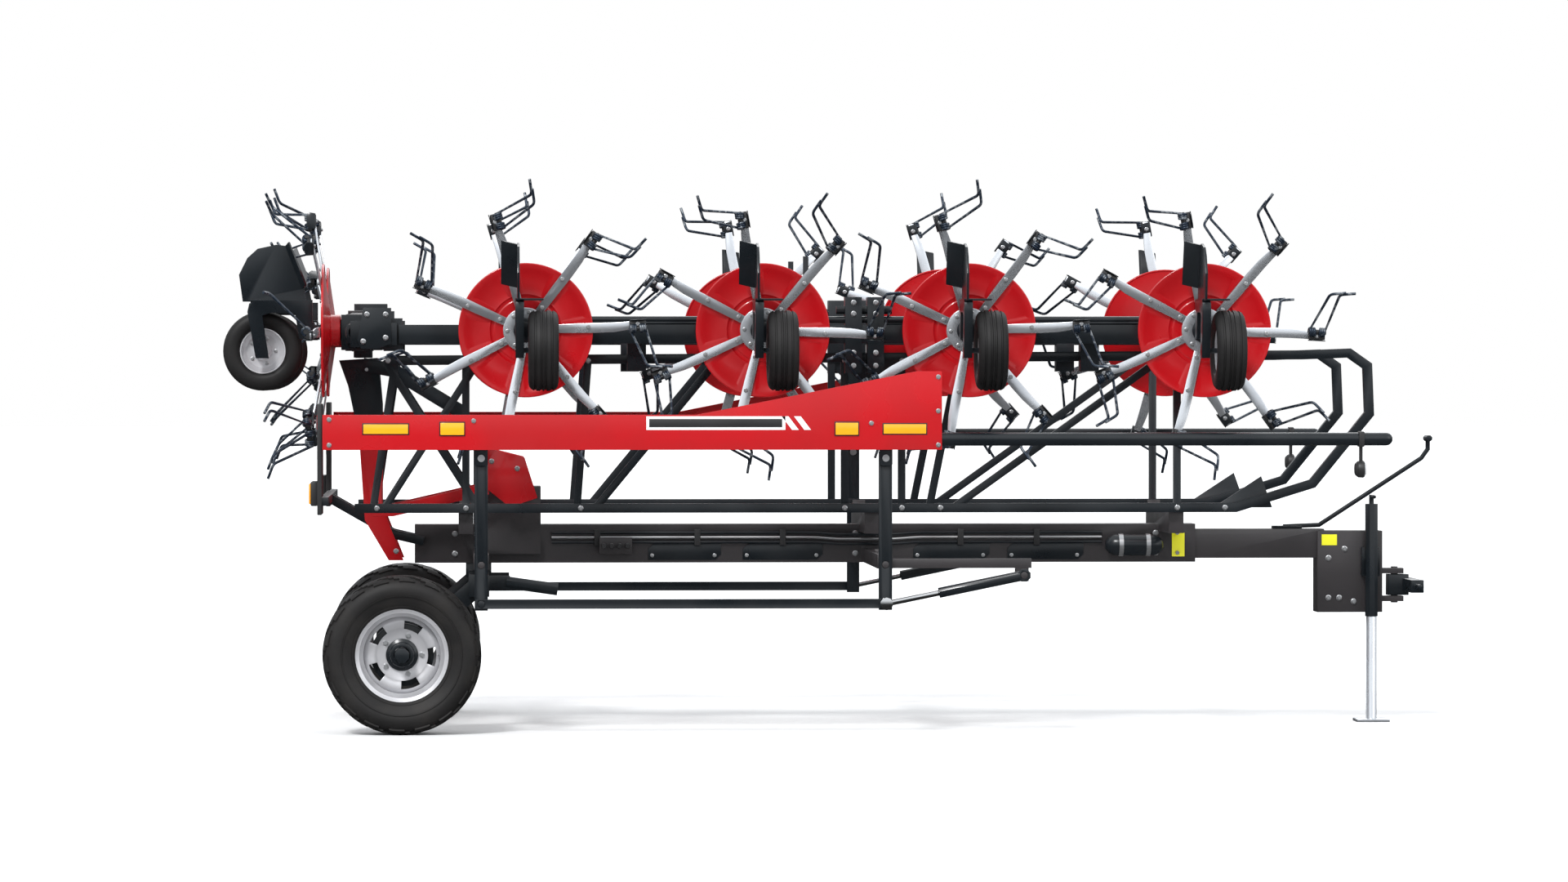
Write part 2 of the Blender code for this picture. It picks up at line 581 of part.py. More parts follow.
def build_rear(red, dark):
    """The lift under the centre beam, and the bar with the lighting boards."""
    arms = lift_pieces(-LIFT_Y) + lift_pieces(LIFT_Y)
    arms += [
        pin((-1.76, 0, RAIL_LOW + 0.155), (0, 1, 0), 0.60, SLEEVE_R),
        bar((-2.53, -LIFT_Y, RAIL_LOW - 0.01), (-2.53, LIFT_Y, RAIL_LOW - 0.01), 0.05, 0.05, (0, 0, 1)),
    ]
    placed("lift_arms", fused("lift_arms", arms), red)

    start, end = (LIGHT_X, -LIGHT_HALF, LIGHT_Z), (LIGHT_X, LIGHT_HALF, LIGHT_Z)
    lights = [bar(start, end, LIGHT_BAR, LIGHT_BAR, (0, 0, 1))]
    board_x = (LIGHT_X - 0.014 - BOARD_T, LIGHT_X - 0.014)
    for s in (-1, 1):
        lights.append(box(board_x, sorted((s * BOARD_Y[0], s * BOARD_Y[1])), BOARD_Z))
        path = [(CHASSIS_REAR + 0.05, 1.00), (-2.42, 1.04), (LIGHT_X, LIGHT_Z)]
        lights.append(swept([(x, s * 0.125, z) for x, z in path], rect(0.050, 0.0494)))
    placed("lighting_bar", fused("lighting_bar", lights), dark)


# Side guards.


def build_guards(red, dark, silver):
    """Each side's posts, lower link, panel and ram, a parallelogram that swings out."""
    top, foot = PIVOT_Z + TOP_ARM, PIVOT_Z - FOOT_ARM
    y0, y1 = -POST_Y1, -POST_Y0
    mid = (y0 + y1) / 2
    link_y = (-POST_Y1 - 0.029, -POST_Y1 - 0.007)
    for name, x in (("post_rear", POST_X[0]), ("post_front", POST_X[1])):
        post = [bar((x, mid, top + 0.035), (x, mid, foot - 0.035), POST_W, y1 - y0)]
        outer = -link_y[0] + 0.005
        post.append(pin((x, -(outer + POST_Y0 + 0.01) / 2, foot), (0, 1, 0), outer - POST_Y0 - 0.01, PIN_R))
        cuts = [bore((x, mid, z), (0, 1, 0), 0.2, PIN_BORE) for z in (PIVOT_Z, top)]
        pair("guard_" + name, post, dark, cuts, (x, mid, PIVOT_Z))
    across = sum(link_y) / 2
    link = [bar((POST_X[0] - 0.03, across, foot), (POST_X[1] + 0.03, across, foot), 0.050, 0.022)]
    cuts = [bore((x, across, foot), (0, 1, 0), 0.1, PIN_BORE) for x in POST_X]
    pair("guard_link", link, dark, cuts, (POST_X[1], mid, foot))

    skin = (-GUARD_Y - 0.046, -GUARD_Y - 0.030)
    low, rear_top, front_top = FAIRING_Z
    outline = [(FAIRING_REAR, low), (FAIRING_FRONT, low), (FAIRING_FRONT, front_top), (0.36, front_top)]
    outline += [(-0.80, rear_top), (FAIRING_REAR, rear_top)]
    guard = [
        tube(((GUARD_REAR, -GUARD_Y, GUARD_TUBE_Z), (GUARD_FRONT, -GUARD_Y, GUARD_TUBE_Z)), GUARD_TUBE_R, 10),
        prism([(x, skin[0], z) for x, z in outline], (0, skin[1] - skin[0], 0)),
        pin((MARKER_X, -GUARD_Y, GUARD_TUBE_Z - 0.09), (0, 0, 1), 0.16, 0.010, 8),
        pin((MARKER_X, -GUARD_Y, GUARD_TUBE_Z - 0.16), (1, 0, 0), 0.05, 0.045, 12),
    ]
    for x in POST_X:
        guard.append(box((x - 0.035, x + 0.035), (y0 - 0.022, y0 - 0.006), (top - 0.035, GUARD_TUBE_Z)))
        guard.append(pin((x, mid - 0.006, top), (0, 1, 0), y1 - y0 + 0.016, PIN_R))
    pair("guard_panel", guard, red, (), (POST_X[1], mid, top))

    lug, eye = Vector((LUG_X, -RAM_Y, LUG_Z)), Vector((POST_X[1], -RAM_Y, foot))
    along = (eye - lug).normalized()
    barrel = [
        tube((lug + along * 0.02, lug + along * RAM_BARREL), RAM_R, 12),
        pin(lug, (0, 1, 0), 0.044, 0.036),
    ]
    cuts = [
        tube((lug + along * 0.05, lug + along * (RAM_BARREL + 0.1)), RAM_BORE, 12),
        bore(lug, (0, 1, 0), 0.1, PIN_BORE),
    ]
    pair("guard_barrel", barrel, dark, cuts, lug)
    inner = -link_y[0] + 0.005 + GAP
    cheek = (RAM_Y + 0.022 - inner) / 2
    rod = [
        tube((eye - along * 0.01, eye - along * RAM_ROD), ROD_R, 12),
        pin((eye.x, -inner - cheek, eye.z), (0, 1, 0), 2 * cheek, 0.034, 10),
    ]
    pair("guard_rod", rod, silver, (), eye)


# Drawbar head.


def build_head(dark, silver):
    """The jack, the swivelling headstock and the hose holder."""
    jack = [
        pin((JACK_X, JACK_Y, (JACK_Z0 + JACK_Z1) / 2), (0, 0, 1), JACK_Z1 - JACK_Z0, JACK_R),
        box((JACK_X - 0.05, JACK_X + 0.05), (JACK_Y + 0.02, -NECK_W / 2 - 0.022 - GAP), (0.80, 0.96)),
        pin((JACK_X, JACK_Y, JACK_Z1 + 0.02), (0, 0, 1), 0.06, 0.014, 8),
        pin((JACK_X, JACK_Y - 0.05, JACK_Z1 + 0.04), (0, 1, 0), 0.13, 0.010, 8),
    ]
    inside = [bore((JACK_X, JACK_Y, (JACK_Z0 + JACK_Z1) / 2 - 0.03), (0, 0, 1), JACK_Z1 - JACK_Z0, JACK_BORE)]
    placed("jack_tube", fused("jack_tube", jack, inside), dark)
    leg = [
        pin((JACK_X, JACK_Y, JACK_LENGTH / 2 + 0.005), (0, 0, 1), JACK_LENGTH - 0.01, JACK_LEG, 16),
        box((JACK_X - 0.09, JACK_X + 0.09), (JACK_Y - 0.09, JACK_Y + 0.09), (0, 0.016)),
    ]
    placed("jack_leg", fused("jack_leg", leg), silver, None, (JACK_X, JACK_Y, 0))

    head = [
        bar((BAR_X, -BAR_HALF, SWIVEL_Z), (BAR_X, BAR_HALF, SWIVEL_Z), BAR_T, BAR_T, (0, 0, 1)),
        pin((BAR_X, 0, SWIVEL_Z), (0, 1, 0), 2 * LINK_HALF, 0.014),
        box((SWIVEL_X - 0.042, BAR_X), (-0.042, 0.042), (SWIVEL_Z - 0.058, SWIVEL_Z + 0.058)),
    ]
    inside = [bore((SWIVEL_X, 0, SWIVEL_Z), (0, 0, 1), 0.3, SWIVEL_BORE)]
    placed("headstock", fused("headstock", head, inside), dark, None, (SWIVEL_X, 0, SWIVEL_Z))

    base = NECK_Z1 + GAP
    tip_x, tip_z = HOLDER_TIP
    path = [(2.50, base + 0.012), (2.70, base + 0.020), (tip_x - 0.036, tip_z - 0.11), (tip_x, tip_z - 0.06)]
    holder = [
        tube([(x, 0, z) for x, z in [*path, HOLDER_TIP]], 0.013),
        box((2.44, 2.60), (-0.04, 0.04), (base, base + 0.016)),
        pin((tip_x, 0, tip_z), (0, 1, 0), 0.12, 0.018, 8),
    ]
    placed("hose_holder", fused("hose_holder", holder), dark)


def main():
    """Empties the scene and builds every part."""
    for thing in list(bpy.data.objects):
        bpy.data.objects.remove(thing)
    red = paint("red_paint", (0.55, 0.012, 0.010), 0.35)
    dark = paint("dark_paint", (0.035, 0.037, 0.040), 0.5)
    silver = paint("zinc", (0.55, 0.56, 0.58), 0.4, 0.9)
    rubber = paint("rubber", (0.018, 0.018, 0.019), 0.8)
    build_rotors(red, silver, rubber)
    build_beams(dark)
    build_cradle(dark)
    build_chassis(dark)
    build_axle(dark)
    build_wheels(rubber, silver)
    build_rear(red, dark)
    build_guards(red, dark, silver)
    build_head(dark, silver)


main()
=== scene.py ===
"""Looks of a ten-rotor trailed hay tedder in its transport position.

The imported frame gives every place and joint. Each class models one
sub-assembly with Blender's own operators, dresses it and rides it on its body.
Metres; +X is forward, +Z is up and the machine's right-hand side is -Y.
"""

import json
import logging
import math
from contextlib import contextmanager
from dataclasses import dataclass
from enum import Enum
from typing import Callable, Iterator, Sequence

import bpy
from mathutils import Matrix, Vector

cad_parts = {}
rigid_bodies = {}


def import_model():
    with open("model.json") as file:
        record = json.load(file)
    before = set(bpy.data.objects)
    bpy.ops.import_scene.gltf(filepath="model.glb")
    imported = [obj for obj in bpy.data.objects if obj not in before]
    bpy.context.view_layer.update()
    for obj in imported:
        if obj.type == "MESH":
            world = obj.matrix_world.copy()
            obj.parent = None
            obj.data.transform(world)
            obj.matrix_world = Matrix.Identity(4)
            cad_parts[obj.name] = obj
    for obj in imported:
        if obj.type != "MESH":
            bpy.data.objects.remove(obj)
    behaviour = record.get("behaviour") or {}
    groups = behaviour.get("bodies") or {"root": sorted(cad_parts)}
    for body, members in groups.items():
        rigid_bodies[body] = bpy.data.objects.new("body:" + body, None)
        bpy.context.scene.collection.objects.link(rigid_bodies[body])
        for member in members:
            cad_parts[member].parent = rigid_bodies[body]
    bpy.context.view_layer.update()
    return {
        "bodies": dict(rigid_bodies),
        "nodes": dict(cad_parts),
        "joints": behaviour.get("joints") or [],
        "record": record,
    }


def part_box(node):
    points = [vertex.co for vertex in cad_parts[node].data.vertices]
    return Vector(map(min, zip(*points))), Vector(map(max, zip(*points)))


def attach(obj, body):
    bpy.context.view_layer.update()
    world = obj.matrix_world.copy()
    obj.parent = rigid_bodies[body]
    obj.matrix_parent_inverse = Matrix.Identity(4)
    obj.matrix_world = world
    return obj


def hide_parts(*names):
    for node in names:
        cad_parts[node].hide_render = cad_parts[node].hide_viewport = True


LOG = logging.getLogger("tedder")
MERGE = 1e-5
TURN = 2 * math.pi
UP, FORWARD = (0, 0, 1), (1, 0, 0)
SIDES = ((-1, "right"), (1, "left"))
DUST = (0.16, 0.135, 0.10)
DUST_TOP = 1.5

Thing = bpy.types.Object
Socket = bpy.types.NodeSocket
Face = bpy.types.MeshPolygon
Point = Sequence[float]
Places = Sequence[Point]
Headings = Sequence[tuple[Point, Point]]
Profile = Sequence[tuple[float, float]]
Colour = tuple[float, float, float]


# Finishes.


class Grain(Enum):
    """How the fine relief of a surface is laid out."""

    PEEL = "fine rounded bumps, as sprayed paint has"
    SPANGLE = "flat crystals, as dipped zinc has"
    DRAWN = "lines along the piece, as drawn wire and polished rod have"
    PEBBLE = "coarse cells, as moulded rubber has"


class Shading:
    """The nodes of one tree, and the few kinds that a finish is made of."""

    def __init__(self, tree: bpy.types.NodeTree, coordinates: str = "Object") -> None:
        """Keeps the tree and adds the coordinates that its patterns follow."""
        self.tree = tree
        self.place = self.add("TexCoord").outputs[coordinates]

    def feed(self, node: bpy.types.Node, given: dict[str | int, object]) -> None:
        """Links or sets a node's inputs.

        Args:
            node: The node.
            given: What each input gets: a socket, a number, a vector or a colour.
        """
        for name, value in given.items():
            into = node.inputs[name]
            if isinstance(value, bpy.types.NodeSocket):
                self.tree.links.new(value, into)
            else:
                into.default_value = (*value, 1) if into.type == "RGBA" else value

    def add(self, kind: str, given: dict[str | int, object] | None = None, **settings: str) -> bpy.types.Node:
        """Adds a node.

        Args:
            kind: The end of its type's name.
            given: What its inputs get.
            settings: Its properties by name.

        Returns:
            The node.
        """
        node = self.tree.nodes.new("ShaderNode" + kind)
        for name, value in settings.items():
            setattr(node, name, value)
        self.feed(node, given or {})
        return node

    def height(self) -> Socket:
        """The Z of the coordinates."""
        return self.add("SeparateXYZ", {0: self.place}).outputs["Z"]

    def noise(self, scale: float, detail: float, place: Socket | None = None) -> Socket:
        """A noise from 0 to 1, with its scale in turns per metre and its number of finer octaves."""
        place = self.place if place is None else place
        return self.add("TexNoise", {"Scale": scale, "Detail": detail, "Vector": place}).outputs["Fac"]

    def ramp(self, value: Socket, start: float, end: float, low: float = 0.0, high: float = 1.0) -> Socket:
        """The value, stretched from start and end to low and high."""
        given = {"Value": value, "From Min": start, "From Max": end, "To Min": low, "To Max": high}
        return self.add("MapRange", given).outputs["Result"]

    def product(self, one: Socket, other: Socket | float) -> Socket:
        """One value times another."""
        return self.add("Math", {0: one, 1: other}, operation="MULTIPLY").outputs[0]

    def blend(self, share: Socket, one: Socket | Colour, other: Colour) -> Socket:
        """A mix of two colours, by the share of the second one."""
        given = {"Factor": share, "A": one, "B": other}
        return self.add("Mix", given, data_type="RGBA").outputs["Result"]


@dataclass(frozen=True)
class Finish:
    """A procedural surface: two shades, a grain, dust low down, and lighter edges that are partly wear and
    partly a painted highlight.
    """

    name: str
    slot: str
    colour: Colour
    shade: Colour
    roughness: tuple[float, float]
    metallic: float = 0.0
    grain: Grain = Grain.PEEL
    scale: float = 220.0
    relief: float = 0.12
    coat: float = 0.0
    specular: float = 0.5
    dust: float = 0.0
    # Colour of the lighter edges: partly bare metal where they wear, partly a painted highlight.
    edge_wear_and_highlight: Colour | None = None
    # Emitted light: lamp light on lamp lenses, painted light on reflectors, which are no lamps.
    lamp_and_painted_glow: float = 0.0

    def material(self) -> bpy.types.Material:
        """Makes the material once, then gives the same one again.

        Returns:
            The material, built from nodes on Object coordinates.
        """
        found = bpy.data.materials.get(self.name)
        if found is not None:
            return found
        made = bpy.data.materials.new(self.name)
        made.use_nodes = True
        nodes = Shading(made.node_tree)
        cloud = nodes.noise(2.3, 5.0)
        bump = nodes.add("Bump", {"Strength": self.relief, "Distance": 0.001, "Height": self.fine(nodes)})
        given = {
            "Base Color": self.tone(nodes, cloud),
            "Roughness": nodes.ramp(cloud, 0.3, 0.7, *self.roughness),
            "Normal": bump.outputs["Normal"],
            "Metallic": self.metallic,
            "Coat Weight": self.coat,
            "Coat Roughness": 0.08,
            "Specular IOR Level": self.specular,
        }
        # Emission: lamp light on lenses, and painted light on the reflectors.
        if self.lamp_and_painted_glow:
            given |= {"Emission Color": self.colour, "Emission Strength": self.lamp_and_painted_glow}
        nodes.feed(made.node_tree.nodes["Principled BSDF"], given)
        made.diffuse_color = (*self.colour, 1)
        return made

    def tone(self, nodes: Shading, cloud: Socket) -> Socket:
        """The colour: two shades, lighter edges that are partly bare metal and partly a painted highlight,
        and dust low down.

        Args:
            nodes: The material's nodes.
            cloud: The slow noise that mixes the two shades.

        Returns:
            A colour socket.
        """
        colour = nodes.blend(nodes.ramp(cloud, 0.38, 0.62), self.colour, self.shade)
        # Lighter sharp edges in patches: partly wear, partly a painted highlight along the edges.
        if self.edge_wear_and_highlight is not None:
            edges = nodes.ramp(nodes.add("NewGeometry").outputs["Pointiness"], 0.53, 0.62)
            edge_patches = nodes.ramp(nodes.noise(34.0, 4.0), 0.50, 0.62)
            colour = nodes.blend(nodes.product(edges, edge_patches), colour, self.edge_wear_and_highlight)
        if self.dust:
            low = nodes.ramp(nodes.height(), DUST_TOP, 0.0)
            speck = nodes.ramp(nodes.noise(9.0, 6.0), 0.42, 0.72)
            colour = nodes.blend(nodes.product(nodes.product(low, speck), self.dust), colour, DUST)
        return colour

    def fine(self, nodes: Shading) -> Socket:
        """The height of the fine relief, as a socket of the material's nodes."""
        if self.grain in (Grain.SPANGLE, Grain.PEBBLE):
            cells = nodes.add("TexVoronoi", {"Scale": self.scale, "Vector": nodes.place})
            return cells.outputs["Color" if self.grain is Grain.SPANGLE else "Distance"]
        place = nodes.place
        if self.grain is Grain.DRAWN:
            place = nodes.add("Mapping", {"Scale": (0.06, 1.0, 1.0), "Vector": place}).outputs["Vector"]
        return nodes.noise(self.scale, 3.0, place)


RED = Finish(
    "gloss_red_paint", "red_paint", (0.46, 0.003, 0.007), (0.40, 0.003, 0.006), (0.24, 0.38), coat=0.3,
    specular=0.35,
)
DARK = Finish(
    "satin_black_paint", "dark_paint", (0.007, 0.010, 0.013), (0.012, 0.015, 0.018), (0.24, 0.38), coat=0.15,
    specular=0.38, dust=0.02,
)
GREY = Finish(
    "satin_grey_paint", "dark_paint", (0.036, 0.032, 0.034), (0.030, 0.027, 0.029), (0.34, 0.48), coat=0.15,
    dust=0.03,
)
ZINC = Finish(
    "dipped_zinc", "zinc", (0.80, 0.83, 0.87), (0.70, 0.73, 0.77), (0.22, 0.32), 0.85, Grain.SPANGLE, 70.0,
    0.03, dust=0.05,
)
RIM = Finish(
    "silver_rim_paint", "zinc", (0.58, 0.58, 0.60), (0.50, 0.50, 0.52), (0.32, 0.48), 0.35, Grain.PEEL, 260.0,
    0.10, coat=0.2, dust=0.15,
)
BOLT = Finish(
    "plated_bolt", "zinc", (0.60, 0.61, 0.62), (0.48, 0.49, 0.50), (0.28, 0.42), 0.85, Grain.PEEL, 400.0,
)
# The tines' lighter edges are partly wear and partly a painted highlight.
TINE = Finish(
    "blued_spring_steel", "dark_paint", (0.014, 0.024, 0.042), (0.024, 0.036, 0.055), (0.28, 0.44), 0.55,
    Grain.DRAWN, 500.0, 0.10, edge_wear_and_highlight=(0.22, 0.24, 0.26),
)
CHROME = Finish(
    "polished_rod", "zinc", (0.78, 0.79, 0.80), (0.74, 0.75, 0.76), (0.08, 0.16), 1.0, Grain.DRAWN, 700.0,
    0.03,
)
RUBBER = Finish(
    "tyre_rubber", "tyre", (0.009, 0.0085, 0.0085), (0.014, 0.013, 0.013), (0.50, 0.70), 0.0, Grain.PEBBLE,
    320.0, 0.22, specular=0.32, dust=0.06,
)
PLASTIC = Finish("black_plastic", "dark_paint", (0.018, 0.018, 0.019), (0.024, 0.024, 0.025), (0.40, 0.55))
# Its emission is lamp light on the amber lamp lenses and painted light on the reflectors, which are no lamps.
AMBER = Finish(
    "amber_reflector", "red_paint", (0.90, 0.36, 0.010), (0.80, 0.30, 0.008), (0.12, 0.22), 0.0, Grain.PEBBLE,
    240.0, 0.25, coat=0.8, lamp_and_painted_glow=0.18,
)
RED_LENS = Finish(
    "red_lamp_lens", "red_paint", (0.60, 0.006, 0.006), (0.50, 0.005, 0.005), (0.10, 0.20), 0.0, Grain.PEBBLE,
    240.0, 0.25, coat=0.8, lamp_and_painted_glow=0.10,
)
CLEAR = Finish(
    "clear_lamp_lens", "zinc", (0.80, 0.82, 0.84), (0.72, 0.74, 0.76), (0.08, 0.16), 0.2, Grain.PEBBLE, 240.0,
    0.3, coat=0.9,
)
WHITE = Finish("white_film", "red_paint", (0.82, 0.82, 0.82), (0.76, 0.76, 0.76), (0.30, 0.42))
YELLOW = Finish("yellow_plate", "dark_paint", (0.80, 0.78, 0.010), (0.72, 0.70, 0.010), (0.34, 0.46))


# Modelling moves.


def at_rest() -> None:
    """Leaves edit mode with nothing selected."""
    if bpy.context.mode != "OBJECT":
        bpy.ops.object.mode_set(mode="OBJECT")
    bpy.ops.object.select_all(action="DESELECT")


def take(*things: Thing) -> Thing:
    """Selects only these things, and makes the first one active.

    Args:
        things: The objects to select.

    Returns:
        The first of them.
    """
    at_rest()
    for thing in things:
        thing.select_set(True)
    bpy.context.view_layer.objects.active = things[0]
    return things[0]


@contextmanager
def editing(thing: Thing) -> Iterator[None]:
    """Edit mode on one thing, with all of it selected.

    Args:
        thing: The mesh to edit.

    Yields:
        Nothing.
    """
    take(thing)
    bpy.ops.object.mode_set(mode="EDIT")
    bpy.ops.mesh.select_all(action="SELECT")
    yield
    bpy.ops.object.mode_set(mode="OBJECT")


def heal(thing: Thing, spacing: float = MERGE) -> Thing:
    """Merges doubles and turns every face outwards.

    Args:
        thing: The mesh to mend.
        spacing: Points closer than this become one.

    Returns:
        The same thing.
    """
    with editing(thing):
        bpy.ops.mesh.remove_doubles(threshold=spacing)
        bpy.ops.mesh.normals_make_consistent(inside=False)
    return thing


def apply_modifier(thing: Thing, kind: str, **settings: object) -> Thing:
    """Adds a modifier with these settings and applies it.

    Args:
        thing: The mesh to change.
        kind: The modifier's type.
        settings: Its properties by name.

    Returns:
        The same thing.
    """
    take(thing)
    modifier = thing.modifiers.new(kind.lower(), kind)
    for name, value in settings.items():
        setattr(modifier, name, value)
    bpy.ops.object.modifier_apply(modifier=modifier.name)
    return thing


def soften(thing: Thing, width: float = 0.0015, segments: int = 2, angle: float = 35.0) -> Thing:
    """Rounds the sharp edges.

    Args:
        thing: The mesh to round.
        width: The width of the rounding.
        segments: How many faces it has across.
        angle: Edges sharper than this are rounded, in degrees.

    Returns:
        The same thing.
    """
    return apply_modifier(
        thing, "BEVEL", width=width, segments=segments, limit_method="ANGLE", angle_limit=math.radians(angle),
        use_clamp_overlap=True, harden_normals=False,
    )


@contextmanager
def picked(thing: Thing, chosen: Callable[[Face], bool]) -> Iterator[None]:
    """Edit mode with only the faces that a rule chooses selected.

    Args:
        thing: The mesh that is being edited.
        chosen: The rule.

    Yields:
        Nothing.
    """
    bpy.ops.mesh.select_mode(type="FACE")
    bpy.ops.mesh.select_all(action="DESELECT")
    bpy.ops.object.mode_set(mode="OBJECT")
    for face in thing.data.polygons:
        face.select = chosen(face)
    bpy.ops.object.mode_set(mode="EDIT")
    yield
    bpy.ops.mesh.select_mode(type="VERT")


def painted(thing: Thing, finish: Finish) -> Thing:
    """Gives the whole mesh one finish."""
    thing.data.materials.clear()
    thing.data.materials.append(finish.material())
    return thing


def polyline(points: Places) -> Thing:
    """A run of edges through the points, drawn by extruding one vertex.

    Args:
        points: The points in order.

    Returns:
        The mesh of edges.
    """
    at_rest()
    bpy.ops.mesh.primitive_plane_add(size=0.01)
    thing = bpy.context.object
    places = [Vector(p) for p in points]
    with editing(thing):
        bpy.ops.mesh.merge(type="CENTER")
        bpy.ops.transform.translate(value=places[0])
        for here, there in zip(places, places[1:]):
            bpy.ops.mesh.extrude_region_move(TRANSFORM_OT_translate={"value": there - here})
    return thing


def plate(outline: Places, depth: Point, rounding: float, finish: Finish) -> Thing:
    """A flat outline filled and extruded.

    Args:
        outline: The corners in order.
        depth: The vector it is extruded along.
        rounding: The width of its rounded edges, or 0.
        finish: Its finish.

    Returns:
        The closed plate.
    """
    thing = polyline(outline)
    with editing(thing):
        bpy.ops.mesh.edge_face_add()
        bpy.ops.mesh.extrude_region_move(TRANSFORM_OT_translate={"value": Vector(depth)})
    painted(heal(thing), finish)
    return soften(thing, rounding) if rounding else thing


def block(centre: Point, size: Point, rounding: float, finish: Finish) -> Thing:
    """A block with rounded edges.

    Args:
        centre: Its middle.
        size: Its length along each axis.
        rounding: The width of its rounded edges.
        finish: Its finish.

    Returns:
        The block.
    """
    at_rest()
    bpy.ops.mesh.primitive_cube_add(size=1)
    thing = bpy.context.object
    with editing(thing):
        bpy.ops.transform.resize(value=Vector(size))
        bpy.ops.transform.translate(value=Vector(centre))
    return soften(painted(thing, finish), rounding)


def lathe(profile: Profile, sides: int, loop: bool = True, angle: float = TURN) -> Thing:
    """A profile of (radius, height) spun about Z.

    Args:
        profile: The corners of the profile.
        sides: How many steps the spin has.
        loop: True if the profile closes on itself.
        angle: How far it is spun; its two ends are filled if that is less than a turn.

    Returns:
        The turned piece.
    """
    corners = [(r, 0.0, h) for r, h in profile]
    thing = polyline(corners + corners[:1] if loop else corners)
    heal(thing)
    with editing(thing):
        if angle < TURN:
            bpy.ops.mesh.edge_face_add()
        bpy.ops.mesh.spin(steps=sides, angle=angle, center=(0, 0, 0), axis=(0, 0, 1))
    return heal(thing)


def eased(path: Places, radius: float, steps: int = 4) -> list[Vector]:
    """The path with its bends rounded.

    Args:
        path: Points of straight runs.
        radius: How far from each bend the rounding starts.
        steps: How many points each bend gets.

    Returns:
        The new points.
    """
    points = [Vector(p) for p in path]
    smooth = [points[0]]
    for before, here, after in zip(points, points[1:], points[2:]):
        start = here + (before - here).normalized() * min(radius, (before - here).length * 0.45)
        end = here + (after - here).normalized() * min(radius, (after - here).length * 0.45)
        for i in range(steps + 1):
            t = i / steps
            smooth.append(start * (1 - t) ** 2 + here * (2 * t * (1 - t)) + end * t**2)
    return smooth + [points[-1]]


def rod(path: Places, radius: float, sides: int, finish: Finish) -> Thing:
    """A round bar along a path.

    Args:
        path: The points of its middle line.
        radius: Its radius.
        sides: How many faces it has round.
        finish: Its finish.

    Returns:
        The bar, with its ends filled.
    """
    take(polyline(path))
    bpy.ops.object.convert(target="CURVE")
    line = bpy.context.object.data
    line.dimensions = "3D"
    line.bevel_depth = radius
    line.bevel_resolution = max((sides - 4) // 2, 0)
    line.use_fill_caps = True
    bpy.ops.object.convert(target="MESH")
    return painted(heal(bpy.context.object), finish)


def pointing(at: Point, axis: Point) -> Matrix:
    """The place that moves the origin to a point and turns Z along an axis."""
    return Matrix.Translation(Vector(at)) @ Vector(axis).to_track_quat("Z", "Y").to_matrix().to_4x4()


def circle(count: int, radius: float, height: float, start: float = 0.0) -> list[Vector]:
    """Points spaced evenly round Z; the first is turned by start steps."""
    angles = [TURN * (k + start) / count for k in range(count)]
    return [Vector((radius * math.cos(angle), radius * math.sin(angle), height)) for angle in angles]


def put(thing: Thing, place: Matrix) -> Thing:
    """Moves a mesh, and turns its faces back out if the place mirrors it."""
    thing.data.transform(place)
    if place.determinant() < 0:
        thing.data.flip_normals()
    return thing


def again(thing: Thing, place: Matrix) -> Thing:
    """A copy at another place, with its own mesh.

    Args:
        thing: What to copy.
        place: Where the copy goes.

    Returns:
        The copy.
    """
    other = thing.copy()
    other.data = thing.data.copy()
    bpy.context.scene.collection.objects.link(other)
    return put(other, place)


def turned(profile: Profile, sides: int, place: Matrix, finish: Finish) -> Thing:
    """A solid of revolution, in its place, whose profile starts and ends on its axis."""
    return painted(put(lathe(profile, sides, False), place), finish)


def drop(*things: Thing) -> None:
    """Removes patterns that have been copied."""
    at_rest()
    for thing in things:
        bpy.data.objects.remove(thing)


def united(name: str, parts: Sequence[Thing], angle: float = 35.0) -> Thing:
    """Joins parts into one named piece, smooth up to an angle.

    Args:
        name: The piece's name.
        parts: The meshes to join.
        angle: Edges flatter than this are shaded smooth, in degrees.

    Returns:
        The piece.
    """
    thing = take(*parts)
    if len(parts) > 1:
        bpy.ops.object.join()
    bpy.ops.object.shade_smooth_by_angle(angle=math.radians(angle))
    thing.name = thing.data.name = name
    return thing


def mounted(thing: Thing, body: str, slot: str, replaces: Sequence[str] = ()) -> Thing:
    """Rides a finished piece on its body.

    Args:
        thing: The piece.
        body: The CAD body it moves with.
        slot: The record's material slot; not used.
        replaces: The CAD nodes it stands for.

    Returns:
        The piece.
    """
    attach(thing, body)
    if replaces:
        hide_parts(*replaces)
    LOG.info("%s on %s: %d faces", thing.name, body, len(thing.data.polygons))
    return thing


def mount_copy(pattern: Thing, name: str, place: Matrix, body: str, slot: str, *replaces: str) -> None:
    """Rides a named copy of a pattern on its body.

    Args:
        pattern: What to copy.
        name: The copy's name.
        place: Where it goes.
        body: The CAD body it moves with.
        slot: The record's material slot.
        replaces: The CAD nodes it stands for.
    """
    piece = again(pattern, place)
    piece.name = piece.data.name = name
    mounted(piece, body, slot, replaces)


